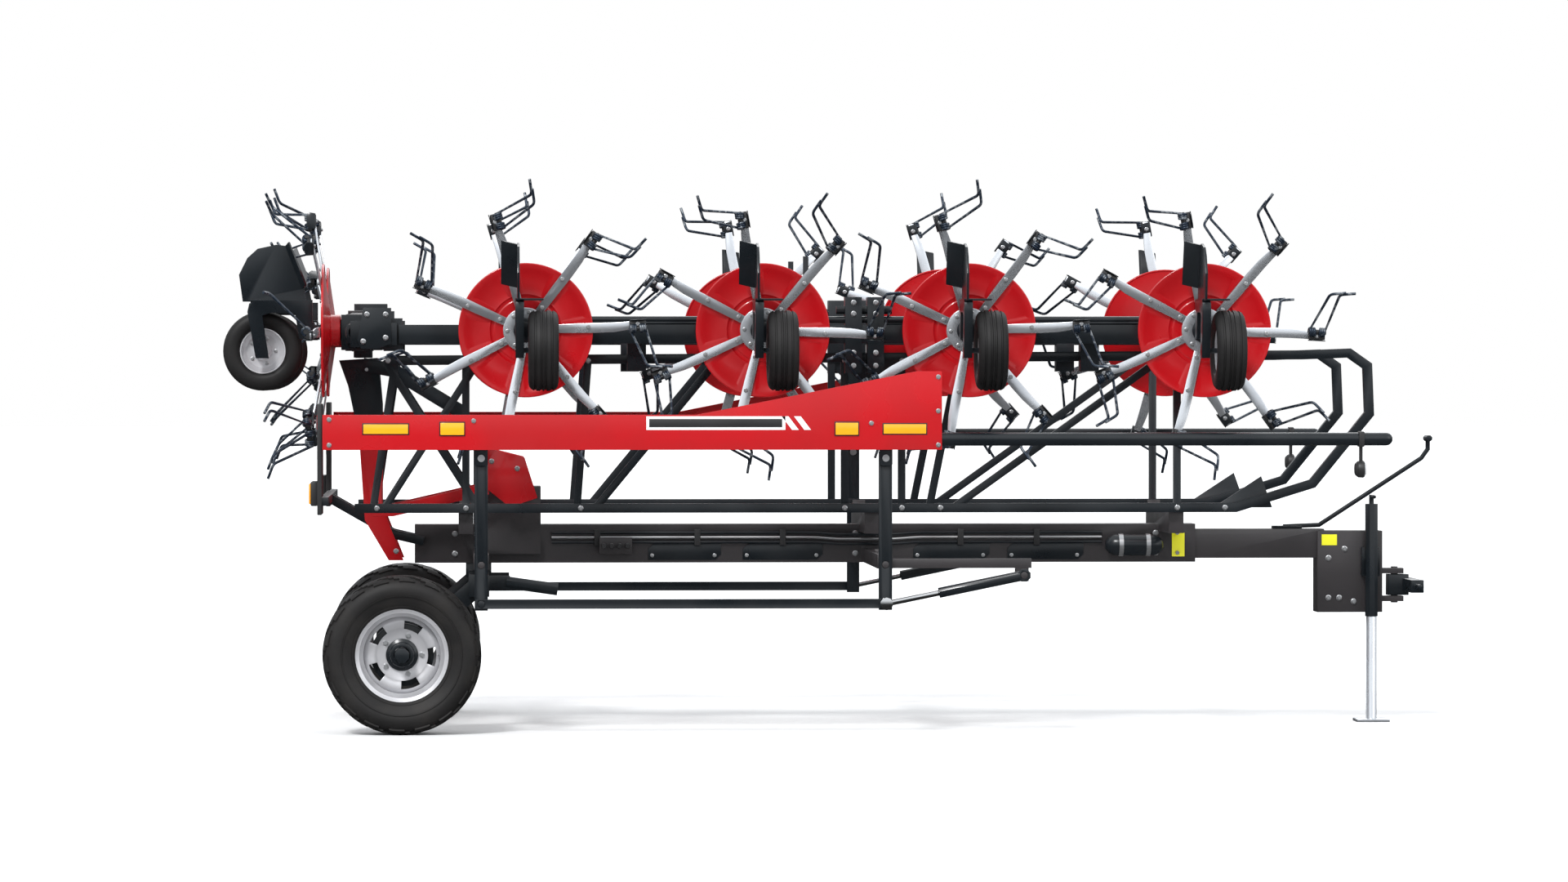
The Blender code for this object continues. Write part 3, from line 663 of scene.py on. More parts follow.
def dressed(
    node: str,
    body: str,
    finish: Finish,
    width: float = 0.0025,
    above: tuple[float, Finish] | None = None,
    top: float | None = None,
) -> Thing:
    """A merged and rounded copy of a CAD node that stands for it.

    Args:
        node: The CAD node.
        body: The body it belongs to.
        finish: Its finish.
        width: The width of its rounded edges.
        above: A height, and the finish from there up.
        top: Where its upper end is cut, if it would touch a stop.

    Returns:
        The piece.
    """
    source = bpy.data.objects[node]
    thing = bpy.data.objects.new(node + "_skin", source.data.copy())
    bpy.context.scene.collection.objects.link(thing)
    with editing(thing):
        bpy.ops.mesh.remove_doubles(threshold=MERGE)
        bpy.ops.mesh.dissolve_limited(angle_limit=math.radians(1.0))
        if above is not None:
            bpy.ops.mesh.select_all(action="SELECT")
            bpy.ops.mesh.bisect(plane_co=(0, 0, above[0]), plane_no=(0, 0, 1))
        if top is not None:
            bpy.ops.mesh.select_all(action="SELECT")
            bpy.ops.mesh.bisect(plane_co=(0, 0, top), plane_no=(0, 0, 1), clear_outer=True, use_fill=True)
    soften(thing, width, 2, 25.0)
    painted(thing, finish)
    if above is not None:
        thing.data.materials.append(above[1].material())
        for face in thing.data.polygons:
            face.material_index = int(face.center.z > above[0])
    return mounted(united(thing.name, [thing]), body, finish.slot, [node])


class Fastener:
    """Hexagon bolts, modelled once and copied."""

    def __init__(self) -> None:
        """Models one bolt with its washer, a millimetre across a unit."""
        at_rest()
        bpy.ops.mesh.primitive_cylinder_add(vertices=6, radius=1.0, depth=0.9, location=(0, 0, 0.65))
        head = bpy.context.object
        bpy.ops.object.transform_apply(location=True)
        soften(head, 0.10, 1)
        washer = lathe([(0.0, 0.0), (1.35, 0.0), (1.35, 0.18), (1.25, 0.24), (0.0, 0.24)], 14, False)
        self.pattern = painted(united("bolt_pattern", [head, washer]), BOLT)

    def at(self, places: Headings, size: float) -> list[Thing]:
        """Bolts at points, each with the way its head faces; size is half a head's width."""
        scale = Matrix.Scale(size, 4)
        return [again(self.pattern, pointing(at, axis) @ scale) for at, axis in places]

    def close(self) -> None:
        """Removes the pattern."""
        drop(self.pattern)


# Rotors.


@dataclass(frozen=True)
class RotorPlace:
    """Where one rotor stands: u runs along its beam, v up and a out of the machine."""

    name: str
    index: int
    side: int
    hub: Vector
    wheel: Vector

    @property
    def frame(self) -> Matrix:
        """The matrix from the rotor's own frame."""
        u = Vector((0, self.side, 0)) if self.index == 1 else Vector((1, 0, 0))
        a = Vector((-1, 0, 0)) if self.index == 1 else Vector((0, self.side, 0))
        turn = Matrix((u, Vector((0, 0, 1)), a)).transposed().to_4x4()
        return Matrix.Translation(self.hub) @ turn

    @property
    def hand(self) -> int:
        """Which way round its tines lean."""
        return 1 if self.index % 2 else -1

    @property
    def phase(self) -> float:
        """How far it is turned at rest."""
        lean = math.radians(3.0) * -self.hand
        return lean + (math.pi / 7 if self.index == 1 and self.side > 0 else 0)


@dataclass
class Rotor:
    """A pressed dish with seven flat arms, each with a clamp and a double spring tine."""

    hand: int
    bolts: Fastener
    arms: int = 7
    dish_r: float = 0.36
    bore: float = 0.0345
    hub_r: float = 0.085
    slope: float = 0.15
    sunk_r: tuple[float, float] = (0.193, 0.325)
    arm_r: float = 0.64
    clamp_x: float = 0.598
    coil: tuple[float, float] = (0.022, 0.030)
    lift: float = 0.0083
    wire: float = 0.0078

    def spokes(self) -> list[Matrix]:
        """The turn of each arm."""
        return [Matrix.Rotation(TURN * k / self.arms, 4, "Z") for k in range(self.arms)]

    def sunk(self, middle: float) -> Callable[[Face], bool]:
        """The rule for the faces of one sunk panel of the dish.

        Args:
            middle: The angle of its middle.

        Returns:
            The rule.
        """

        def chosen(face: Face) -> bool:
            x, y, _ = face.center
            off = abs((math.atan2(y, x) - middle + math.pi) % TURN - math.pi)
            near = self.sunk_r[0] < math.hypot(x, y) < self.sunk_r[1]
            return near and face.normal.z > 0.5 and off < math.pi / self.arms * 0.66

        return chosen

    def dish(self) -> Thing:
        """Models the pressed dish with its rolled rim and sunk panels.

        Returns:
            The dish in the rotor's own frame.
        """
        s, bore = self.slope, self.bore + 0.002
        start, end = self.sunk_r
        outer = [(bore, 0.0055), (0.10, 0.10 * s), (0.165, 0.165 * s), (0.172, 0.172 * s - 0.005)]
        outer += [(0.186, 0.186 * s - 0.005), (start, start * s), (end, end * s), (0.345, 0.345 * s)]
        outer += [(0.354, 0.0545), (self.dish_r, 0.0520), (self.dish_r, 0.0440), (0.3560, 0.0400)]
        inner = [(0.3510, 0.0410), (0.3480, 0.0455), (start, 0.0230), (0.165, 0.0185), (0.088, 0.0070)]
        inner += [(self.hub_r, 0.004), (self.hub_r, -0.042), (0.082, -0.045), (bore, -0.045)]
        thing = lathe(outer + inner, self.arms * 12)
        with editing(thing):
            for k in range(self.arms):
                with picked(thing, self.sunk(TURN * (k + 0.5) / self.arms)):
                    bpy.ops.mesh.inset(thickness=0.010, depth=-0.005, use_boundary=True)
        rivets = [Vector((r, 0, r * s + self.lift * 2 - 0.003)) for r in (0.148, 0.335)]
        places = [(turn @ at, UP) for turn in self.spokes() for at in rivets]
        parts = [painted(soften(thing, 0.0015, 2, 30), RED)]
        return united("dish_pattern", parts + self.bolts.at(places, 0.009), 30)

    def arm(self) -> Thing:
        """Models one tapered arm along X.

        Returns:
            The arm.
        """
        rows = ((0.086, 0.0205, 0.000), (0.16, 0.0225, 0.001), (0.28, 0.0255, 0.004), (0.38, 0.0265, 0.008))
        rows += ((0.47, 0.0255, 0.009), (0.53, 0.0225, 0.006), (0.58, 0.0195, 0.001), (0.640, 0.0150, 0.000))
        low, high = (
            [(r, self.hand * bow + way * w, r * self.slope + 0.0025) for r, w, bow in rows] for way in (-1, 1)
        )
        return plate(low + high[::-1], (0, 0, 0.0105), 0.002, ZINC)

    def flange(self) -> Thing:
        """Models the ring that the arms start from, with its bolts and cap.

        Returns:
            The flange.
        """
        b = self.bore + 0.004
        ring = lathe([(b, 0.018), (0.122, 0.018), (0.122, 0.029), (0.119, 0.032), (b, 0.032)], 42)
        boss = [(b, 0.030), (0.066, 0.030), (0.066, 0.040), (0.060, 0.046), (0.052, 0.048), (b, 0.048)]
        places = [(at, UP) for at in circle(self.arms, 0.098, 0.031, 0.5)]
        parts = [painted(soften(ring, 0.001), ZINC), painted(soften(lathe(boss, 42), 0.001), DARK)]
        return united("flange_pattern", parts + self.bolts.at(places, 0.0085))

    def clamp(self) -> Thing:
        """Models the clamp at an arm's tip.

        Returns:
            The clamp.
        """
        tip = self.arm_r * self.slope
        h = self.hand
        x, y, z = self.clamp_x, h * self.coil[0], tip + self.coil[1]
        body = block((x, h * 0.004, tip + 0.020), (0.090, 0.046, 0.020), 0.004, PLASTIC)
        under = block((x, h * 0.002, tip - 0.003), (0.074, 0.050, 0.008), 0.002, DARK)
        side = [(-0.042, -0.004), (0.042, -0.004), (0.048, 0.030)]
        side += [(0.026, 0.044), (-0.026, 0.044), (-0.046, 0.030)]
        ear = plate([(x + dx, -0.026, tip + dz) for dx, dz in side], (0, 0.005, 0), 0.0012, DARK)
        other = again(ear, Matrix.Translation((0, 0.047, 0)))
        core = rod([(x - 0.046, y, z), (x + 0.048, y, z)], 0.0135, 12, PLASTIC)
        bolt = [((x, 0, tip + 0.029), UP), ((x, 0, tip - 0.006), (0, 0, -1))]
        return united("clamp_pattern", [body, core, under, ear, other] + self.bolts.at(bolt, 0.009))

    def tine(self) -> Thing:
        """Models one double tine: two coils on the clamp, two long legs and two hooked ends.

        Returns:
            The double tine.
        """
        tip = self.arm_r * self.slope
        wires = []
        coil_r, turns, steps = 0.0195, 3, 10
        for way in (-1, 1):
            start = self.clamp_x + way * 0.026
            centre = Vector((start, self.hand * self.coil[0], tip + self.coil[1]))
            path = []
            for i in range(turns * steps + 1):
                angle = TURN * i / steps
                x, y = way * (i / steps - turns / 2) * 0.0112, -self.hand * coil_r * math.sin(angle)
                path.append(centre + Vector((x, y, -coil_r * math.cos(angle))))
            leg = Vector((start + 0.060, self.hand * 0.225, tip + 0.220))
            end = Vector((start + 0.140, self.hand * 0.235, tip + 0.250))
            path += eased([path[-1], leg, end], 0.022, 4)[1:]
            wires.append(rod(path, self.wire, 8, TINE))
        return united("tine_pattern", wires, 60)

    def build(self, places: Sequence[RotorPlace]) -> None:
        """Models the rotor once and copies it to each place of its hand.

        Args:
            places: All the rotors; those of the other hand are left out.
        """
        dish = self.dish()
        arm, clamp, tine = self.arm(), self.clamp(), self.tine()
        spokes = self.spokes()
        arms = united("arms_pattern", [self.flange()] + [again(arm, turn) for turn in spokes])
        clamps = united("clamps_pattern", [again(clamp, turn) for turn in spokes])
        tines = united("tines_pattern", [again(tine, turn) for turn in spokes], 60)
        for place in places:
            if place.hand != self.hand:
                continue
            where = place.frame @ Matrix.Rotation(place.phase, 4, "Z")
            body = "rotor_" + place.name
            mount_copy(dish, "dish_" + place.name, where, body, "red_paint", "rotor_dish_" + place.name)
            mount_copy(arms, "arms_" + place.name, where, body, "zinc", "rotor_arms_" + place.name)
            mount_copy(clamps, "tine_clamps_" + place.name, where, body, "dark_paint")
            mount_copy(tines, "spring_tines_" + place.name, where, body, "dark_paint")
        drop(dish, arm, clamp, tine, arms, clamps, tines)


@dataclass
class GaugeWheel:
    """A small pneumatic wheel that carries a rotor in work."""

    radius: float = 0.215
    width: float = 0.160
    bore: float = 0.017

    def tyre(self) -> Thing:
        """Models the tyre with three grooves round its tread.

        Returns:
            The tyre about Z.
        """
        w, r = self.width / 2, self.radius
        half = [(0.118, 0.052), (0.124, 0.062), (0.134, 0.074), (0.150, w - 0.001), (0.172, w)]
        half += [(0.190, w - 0.004), (0.203, w - 0.013), (0.2095, w - 0.024), (0.2125, w - 0.030)]
        half += [(0.2075, w - 0.033), (0.2080, w - 0.040), (0.2140, w - 0.043), (r, 0.018)]
        half += [(0.2085, 0.015), (0.2085, 0.006), (r, 0.003)]
        profile = [(a, -b) for a, b in half] + [(a, b) for a, b in half[::-1]]
        return painted(lathe(profile, 48), RUBBER)

    def rim(self) -> Thing:
        """Models the pressed rim and its hub.

        Returns:
            The rim about Z.
        """
        half = [(0.124, 0.060), (0.116, 0.060), (0.112, 0.040), (0.104, 0.034)]
        disc = half + [(0.090, 0.020), (0.050, 0.014), (0.044, 0.046), (0.038, 0.052), (self.bore, 0.052)]
        back = [(self.bore, -0.052), (0.038, -0.052), (0.044, -0.046), (0.050, 0.004), (0.090, 0.010)]
        back += [(0.104, -0.034), (0.112, -0.040), (0.116, -0.060), (0.124, -0.060)]
        return painted(soften(lathe(disc + back, 40), 0.0012, 2, 30), RIM)

    def build(self, places: Sequence[RotorPlace], bolts: Fastener) -> None:
        """Copies the wheel under each rotor.

        Args:
            places: All the rotors.
            bolts: The bolts' pattern.
        """
        tyre = united("gauge_tyre_pattern", [self.tyre()])
        nuts = [(at, (0, 0, way)) for h, way in ((0.017, 1), (0.005, -1)) for at in circle(5, 0.070, h)]
        rim = united("gauge_rim_pattern", [self.rim()] + bolts.at(nuts, 0.008))
        for place in places:
            where = pointing(place.wheel, place.frame.to_3x3() @ Vector(FORWARD))
            node = "gauge_wheel_" + place.name
            mount_copy(tyre, "gauge_tyre_" + place.name, where, node, "tyre", node)
            mount_copy(rim, "gauge_rim_" + place.name, where, node, "zinc")
        drop(tyre, rim)


@dataclass
class RoadWheel:
    """A wide transport wheel: lugged tyre, drop-centre rim, pressed disc, nuts and hub."""

    side: int
    centre: Vector
    bolts: Fastener
    radius: float = 0.4215
    width: float = 0.36
    hub_r: float = 0.0435
    tread: float = 0.010
    sides: int = 90
    pitch: float = 0.026

    def lug(self, face: Face) -> bool:
        """Tells the faces that are raised into tread lugs.

        Args:
            face: A face of the tyre.

        Returns:
            True for a face of a lug.
        """
        x, y, z = face.center
        band = int((abs(z) + 1e-4) / self.pitch)
        step = round((math.atan2(y, x) + math.pi) / TURN * self.sides)
        raised = (step + band * (1 if z > 0 else -1)) % 5 > 1
        return raised and math.hypot(x, y) > 0.3885 and face.normal.xy.length > 0.4

    def tyre(self) -> Thing:
        """Models the tyre and raises its tread lugs.

        Returns:
            The tyre about Z.
        """
        w, top = self.width / 2, self.radius - self.tread
        half = [(0.232, 0.112), (0.240, 0.128), (0.252, 0.138), (0.270, 0.152), (0.300, 0.170), (0.330, w)]
        half += [(0.352, w + 0.001), (0.372, w - 0.004), (0.390, 0.164), (0.402, 0.148), (0.408, 0.128)]
        half += [(top, self.pitch * k) for k in (4, 3, 2, 1)]
        profile = [(a, -b) for a, b in half] + [(top, 0.0)] + [(a, b) for a, b in half[::-1]]
        thing = lathe(profile, self.sides)
        with editing(thing):
            with picked(thing, self.lug):
                bpy.ops.mesh.extrude_region_shrink_fatten(TRANSFORM_OT_shrink_fatten={"value": self.tread})
            bpy.ops.mesh.select_all(action="SELECT")
            bpy.ops.mesh.normals_make_consistent(inside=False)
        ribs = []
        for r, h in ((0.262, 0.1475), (0.318, 0.1785)):
            ring = [(r - 0.003, h - 0.004), (r + 0.003, h - 0.002)]
            ring += [(r + 0.002, h + 0.003), (r - 0.002, h + 0.002)]
            for way in (1, -1):
                ribs.append(painted(lathe([(a, way * b) for a, b in ring], 60), RUBBER))
        return united("tyre_pattern", [painted(thing, RUBBER)] + ribs, 40)

    def rim(self) -> Thing:
        """Models the rim, the disc with its hand holes, the nuts and the hub.

        Returns:
            The rim about Z, with its outer face at +Z.
        """
        w, b = 0.122, self.hub_r
        outer = [(0.226, w), (0.238, w + 0.004), (0.246, w + 0.012), (0.250, w + 0.012), (0.250, w + 0.006)]
        outer += [(0.240, w - 0.006), (0.236, 0.080), (0.214, 0.060), (0.214, -0.060), (0.236, -0.080)]
        outer += [(0.240, -w + 0.006), (0.250, -w - 0.006), (0.250, -w - 0.012), (0.246, -w - 0.012)]
        outer += [(0.238, -w - 0.004), (0.226, -w), (0.222, -0.090), (0.205, -0.064)]
        outer += [(0.205, 0.064), (0.222, 0.090)]
        edge = [(0.206, 0.020), (0.206, 0.030), (0.196, 0.042), (0.184, 0.048), (0.182, 0.040)]
        edge += [(0.192, 0.034)]
        middle = [(0.136, 0.036), (0.150, 0.046), (0.176, 0.050), (0.186, 0.048)]
        middle += [(0.184, 0.039), (0.176, 0.041), (0.150, 0.037), (0.134, 0.027)]
        core = [(b, 0.024), (0.096, 0.024), (0.128, 0.030), (0.138, 0.037)]
        core += [(0.136, 0.028), (0.126, 0.021), (0.096, 0.016), (b, 0.016)]
        parts = [painted(soften(lathe(outer, 60), 0.001, 1, 40), RIM)]
        parts += [painted(lathe(ring, 60), RIM) for ring in (edge, core)]
        petals, share = 5, 0.54
        petal = painted(soften(lathe(middle, 10, angle=TURN / petals * share), 0.002, 2, 40), RIM)
        for k in range(petals):
            parts.append(again(petal, Matrix.Rotation(TURN * (k - share / 2) / petals, 4, "Z")))
        drop(petal)
        hub = [(b, 0.020), (0.086, 0.020), (0.086, 0.034), (0.068, 0.040), (0.062, 0.062), (b, 0.064)]
        drum = [(b, -0.058), (0.160, -0.058), (0.168, -0.050), (0.168, 0.006), (b, 0.010)]
        parts += [painted(soften(lathe(ring, 40), 0.0015), DARK) for ring in (hub, drum)]
        nuts = [(at, UP) for at in circle(petals, 0.108, 0.024)]
        valve = rod([(0.190, 0, 0.040), (0.200, 0, 0.070)], 0.004, 8, BOLT)
        return united("rim_pattern", parts + [valve] + self.bolts.at(nuts, 0.0125), 30)

    def build(self) -> None:
        """Models the wheel and rides it on its body."""
        word = dict(SIDES)[self.side]
        where = pointing(self.centre, (0, self.side, 0))
        tyre, rim = self.tyre(), self.rim()
        body = "road_wheel_" + word
        mount_copy(tyre, "road_tyre_" + word, where, body, "tyre", "wheel_tyre_" + word)
        mount_copy(rim, "road_rim_" + word, where, body, "zinc", "wheel_rim_" + word)
        drop(tyre, rim)


# Side guards.


@dataclass
class Guard:
    """A side guard: folded fairing, round rail, reflectors, film stripes and marker lamp."""

    side: int
    bolts: Fastener
    skin_y: float = 1.446
    rail_y: float = 1.40
    rail_z: float = 1.57
    rail_r: float = 0.035
    rail_x: tuple[float, float] = (-2.60, 2.90)
    lamp_x: float = 2.73
    lamp_drop: float = 0.16
    pin_z: float = 1.47
    reflector_x: Places = ((-2.56, -2.325), (0.185, 0.41))
    reflector_z: Point = (1.600, 1.650)
    marker_x: Places = ((-2.155, -2.03), (-0.07, 0.05))
    marker_z: Point = (1.594, 1.658)
    film_x: Point = (-1.07, -0.335)
    film_z: Point = (1.620, 1.692)
    chevron_x: Point = (-0.300, -0.235)
    post_x: tuple[float, float] = (-1.94, 0.20)

    def y(self, distance: float) -> float:
        """The Y of a distance out from the machine's middle."""
        return self.side * distance

    def fairing(self) -> Thing:
        """Models the pan-shaped fairing with folded edges.

        Returns:
            The fairing.
        """
        outline = [(-2.775, 1.515), (0.494, 1.515), (0.494, 1.93), (0.36, 1.93), (-0.80, 1.70)]
        outline += [(-2.775, 1.70)]
        depth = 0.026
        pan = plate([(x, self.y(self.skin_y), z) for x, z in outline], (0, self.y(-depth), 0), 0, RED)
        inner = self.skin_y - depth
        with editing(pan), picked(pan, lambda face: abs(abs(face.center.y) - inner) < 1e-4):
            bpy.ops.mesh.delete(type="FACE")
        apply_modifier(pan, "SOLIDIFY", thickness=0.003, offset=-1.0)
        return soften(pan, 0.006, 3, 40)

    def panel(self, x: Point, z: Point, thick: float, finish: Finish, slant: float = 0.0) -> Thing:
        """A thin panel on the fairing's outer face.

        Args:
            x: Its rear and front edges.
            z: Its lower and upper edges.
            thick: How proud it stands.
            finish: Its finish.
            slant: How far its upper edge is shifted back.

        Returns:
            The panel.
        """
        corners = [(x[0], z[0]), (x[1], z[0]), (x[1] - slant, z[1]), (x[0] - slant, z[1])]
        outline = [(px, self.y(self.skin_y - 0.0005), pz) for px, pz in corners]
        return plate(outline, (0, self.y(thick + 0.0005), 0), min(thick * 0.4, 0.003), finish)

    def markers(self) -> list[Thing]:
        """Models the reflectors, lamps and film on the fairing.

        Returns:
            The panels.
        """
        parts = []
        (low, high), (m_low, m_high), (f_low, f_high) = self.reflector_z, self.marker_z, self.film_z
        for x0, x1 in self.reflector_x:
            parts.append(self.panel((x0 - 0.006, x1 + 0.006), (low - 0.006, high + 0.006), 0.002, PLASTIC))
            parts.append(self.panel((x0, x1), (low, high), 0.005, AMBER))
        for x0, x1 in self.marker_x:
            frame = (x0 - 0.005, x1 + 0.005), (m_low - 0.006, m_high + 0.006)
            parts.append(self.panel(*frame, 0.006, PLASTIC))
            parts.append(self.panel((x0, x1), (m_low, m_high), 0.012, AMBER))
        x0, x1 = self.film_x
        parts.append(self.panel((x0, x1), self.film_z, 0.0006, WHITE))
        parts.append(self.panel((x0 + 0.015, x1 - 0.017), (f_low + 0.014, f_high - 0.014), 0.0010, PLASTIC))
        for x0 in self.chevron_x:
            parts.append(self.panel((x0, x0 + 0.036), self.film_z, 0.0006, WHITE, 0.055))
        return parts

    def lamp(self) -> list[Thing]:
        """Models the marker lamp that hangs from the front of the rail.

        Returns:
            Its stalk, housing and lens.
        """
        y, z = self.y(self.rail_y), self.rail_z - self.lamp_drop
        stalk = [(self.lamp_x, y, self.rail_z - 0.03), (self.lamp_x, y, z + 0.03)]
        body = [(0.0, -0.034), (0.030, -0.032), (0.044, -0.016), (0.046, 0.012), (0.042, 0.018), (0.0, 0.018)]
        lens = [(0.0, 0.010), (0.040, 0.010), (0.040, 0.020), (0.030, 0.026), (0.0, 0.028)]
        place = pointing((self.lamp_x, y, z), FORWARD)
        return [
            rod(stalk, 0.010, 10, PLASTIC),
            painted(put(soften(lathe(body, 28, False), 0.002), place), PLASTIC),
            turned(lens, 28, place, CLEAR),
            block((self.lamp_x, y, self.rail_z), (0.030, 0.082, 0.082), 0.006, PLASTIC),
        ]

    def rail(self) -> list[Thing]:
        """Models the round rail with domed ends, and its brackets.

        Returns:
            The rail and its fittings.
        """
        r, (x0, x1) = self.rail_r, self.rail_x
        dome = [(0.0, x1)]
        for k in range(1, 6):
            angle = math.pi / 2 * k / 5
            dome.append((r * math.sin(angle), x1 - r * (1 - math.cos(angle))))
        profile = [(0.0, x0), (r * 0.86, x0), (r, x0 + 0.006)] + dome[::-1]
        pin = [(0.0, 1.334), (0.019, 1.334), (0.019, 1.404), (0.0, 1.404)]
        parts = [turned(profile, 28, pointing((0, self.y(self.rail_y), self.rail_z), FORWARD), DARK)]
        for x in self.post_x:
            ear = [(x - 0.035, 1.437), (x - 0.022, 1.430), (x + 0.022, 1.430), (x + 0.035, 1.437)]
            ear += [(x + 0.035, 1.575), (x - 0.035, 1.575)]
            outline = [(px, self.y(1.386), pz) for px, pz in ear]
            parts.append(plate(outline, (0, self.y(0.016), 0), 0.002, DARK))
            parts.append(turned(pin, 20, pointing((x, 0, self.pin_z), (0, self.side, 0)), BOLT))
        return parts

    def build(self) -> None:
        """Models the guard and rides it on its body."""
        word = dict(SIDES)[self.side]
        body = "guard_panel_" + word
        heads = [(-1.98, 1.668), (0.12, 1.655), (0.475, 1.54), (0.475, 1.72), (0.475, 1.90)]
        heads += [(-2.74, 1.54), (-2.74, 1.675)]
        places = [((x, self.y(self.skin_y), z), (0, self.side, 0)) for x, z in heads]
        fairing = united("guard_fairing_" + word, [self.fairing()] + self.bolts.at(places, 0.0095), 30)
        mounted(fairing, body, "red_paint", [body])
        mounted(united("guard_markers_" + word, self.markers(), 30), body, "red_paint")
        mounted(united("guard_rail_" + word, self.rail() + self.lamp(), 35), body, "dark_paint")
        for node in ("guard_post_front_", "guard_post_rear_", "guard_link_", "guard_barrel_"):
            dressed(node + word, node + word, DARK, 0.002)
        dressed("guard_rod_" + word, "guard_rod_" + word, CHROME, 0.002)


# Frame.


@dataclass
class Frame:
    """The fixed frame: rounded copies of its members, and what is bolted to them."""

    bolts: Fastener
    places: Sequence[RotorPlace]
    chassis_y: float = 0.100
    chassis_z: float = 0.975
    head_y: float = 0.092
    pipe_y: float = 0.112
    vessel_x: float = 1.655
    vessel_y: float = 0.162
    beam_y: float = 0.76
    truss_y: float = 0.625
    joint_y: float = 0.822
    bracket_y: float = 0.841
    mast_y: float = 0.293
    cheek_y: float = 0.301
    board_y: float = 1.10
    lamp_z: float = 1.28
    cover_x: Places = ((-1.02, -0.62), (-0.50, -0.06), (0.44, 0.86), (0.96, 1.38))
    cover_z: Point = (0.895, 0.985)
    clip_x: Point = (-1.30, -0.75, -0.28, 0.70, 1.12)
    seam_x: Point = (-2.02, 0.18, 1.84)
    wing_line_x: Places = ((-1.50, -0.64), (0.90, 1.74))
    wing_line_z: float = 2.19
    rail_z: float = 1.988
    foot_z: float = 1.19

    def skins(self) -> None:
        """Dresses every member of the frame."""
        dressed("chassis_beam", "frame", GREY)
        for node in (
            "axle_beam", "cradle_frame_right", "cradle_frame_left", "wing_beam_right", "wing_beam_left",
            "centre_beam", "lighting_bar", "jack_tube", "hose_holder",
        ):
            dressed(node, "frame", DARK)
        dressed("lift_arms", "frame", RED, above=(1.62, DARK))
        dressed("jack_leg", "jack_leg", ZINC, top=0.712)
        dressed("headstock", "headstock", DARK)

    def gearboxes(self) -> None:
        """Models the angle gearbox behind each rotor, once, and copies it."""
        casing = [(0.0, -0.046), (0.058, -0.046), (0.070, -0.056), (0.088, -0.075), (0.098, -0.110)]
        casing += [(0.098, -0.160), (0.088, -0.190), (0.060, -0.212), (0.0, -0.214)]
        parts = [painted(soften(lathe(casing, 28, False), 0.003, 2, 30), GREY)]
        for k in range(8):
            rib = block((0.098, 0, -0.135), (0.020, 0.009, 0.100), 0.002, GREY)
            parts.append(put(rib, Matrix.Rotation(TURN * k / 8, 4, "Z")))
        flange = [(0.0, 0.085), (0.056, 0.085), (0.060, 0.089), (0.060, 0.103), (0.044, 0.108)]
        flange += [(0.040, 0.140), (0.0, 0.140)]
        for way in (-1, 1):
            place = pointing((0, -0.010, -0.130), (way, 0, 0))
            parts.append(turned(flange, 24, place, GREY))
            nuts = [(place @ at, (way, 0, 0)) for at in circle(4, 0.050, 0.102, 0.5)]
            parts += self.bolts.at(nuts, 0.006)
        pattern = united("gearbox_pattern", parts, 35)
        for place in self.places:
            mount_copy(pattern, "gearbox_" + place.name, place.frame, "frame", "dark_paint")
        drop(pattern)

    def drive_shafts(self) -> None:
        """Models the shafts between the gearboxes, each with a joint at both ends."""
        half = [(0.0, 0.0), (0.030, 0.0), (0.036, 0.010), (0.036, 0.034), (0.028, 0.046)]
        half += [(0.028, 0.100), (0.022, 0.112), (0.0, 0.112)]
        for side, word in SIDES:
            hubs = [p.hub for p in self.places if p.side == side and p.index > 1]
            y, z = side * self.beam_y, hubs[0].z + 0.058
            parts = []
            for here, there in zip(hubs, hubs[1:]):
                x0, x1 = here.x + 0.125, there.x - 0.125
                parts.append(rod([(x0 + 0.10, y, z), (x1 - 0.10, y, z)], 0.019, 12, DARK))
                for x, way in ((x0, 1), (x1, -1)):
                    parts.append(turned(half, 20, pointing((x, y, z), (way, 0, 0)), PLASTIC))
            mounted(united("drive_shafts_" + word, parts), "frame", "dark_paint")

    def plates(self) -> None:
        """Models the small blank plates and the bolts on the chassis."""
        parts, heads = [], []
        head = ((2.74, 0.68), (2.80, 0.68), (2.74, 0.90), (2.83, 0.95), (2.88, 0.66), (2.99, 0.70))
        for s in (-1, 1):
            for at, size in (
                ((1.905, s * (self.chassis_y + 0.0015), self.chassis_z), (0.070, 0.003, 0.130)),
                ((2.745, s * (self.head_y + 0.0015), 1.000), (0.085, 0.003, 0.060)),
            ):
                parts.append(block(at, size, 0.001, YELLOW))
            for x in self.seam_x:
                square = [(x + dx, z) for dx in (-0.06, 0.06) for z in (0.93, 1.04)]
                heads += [((px, s * self.chassis_y, z), (0, s, 0)) for px, z in square]
            heads += [((x, s * self.head_y, z), (0, s, 0)) for x, z in head]
        mounted(united("blank_plates", parts), "frame", "dark_paint")
        mounted(united("chassis_bolts", self.bolts.at(heads, 0.012)), "frame", "zinc")

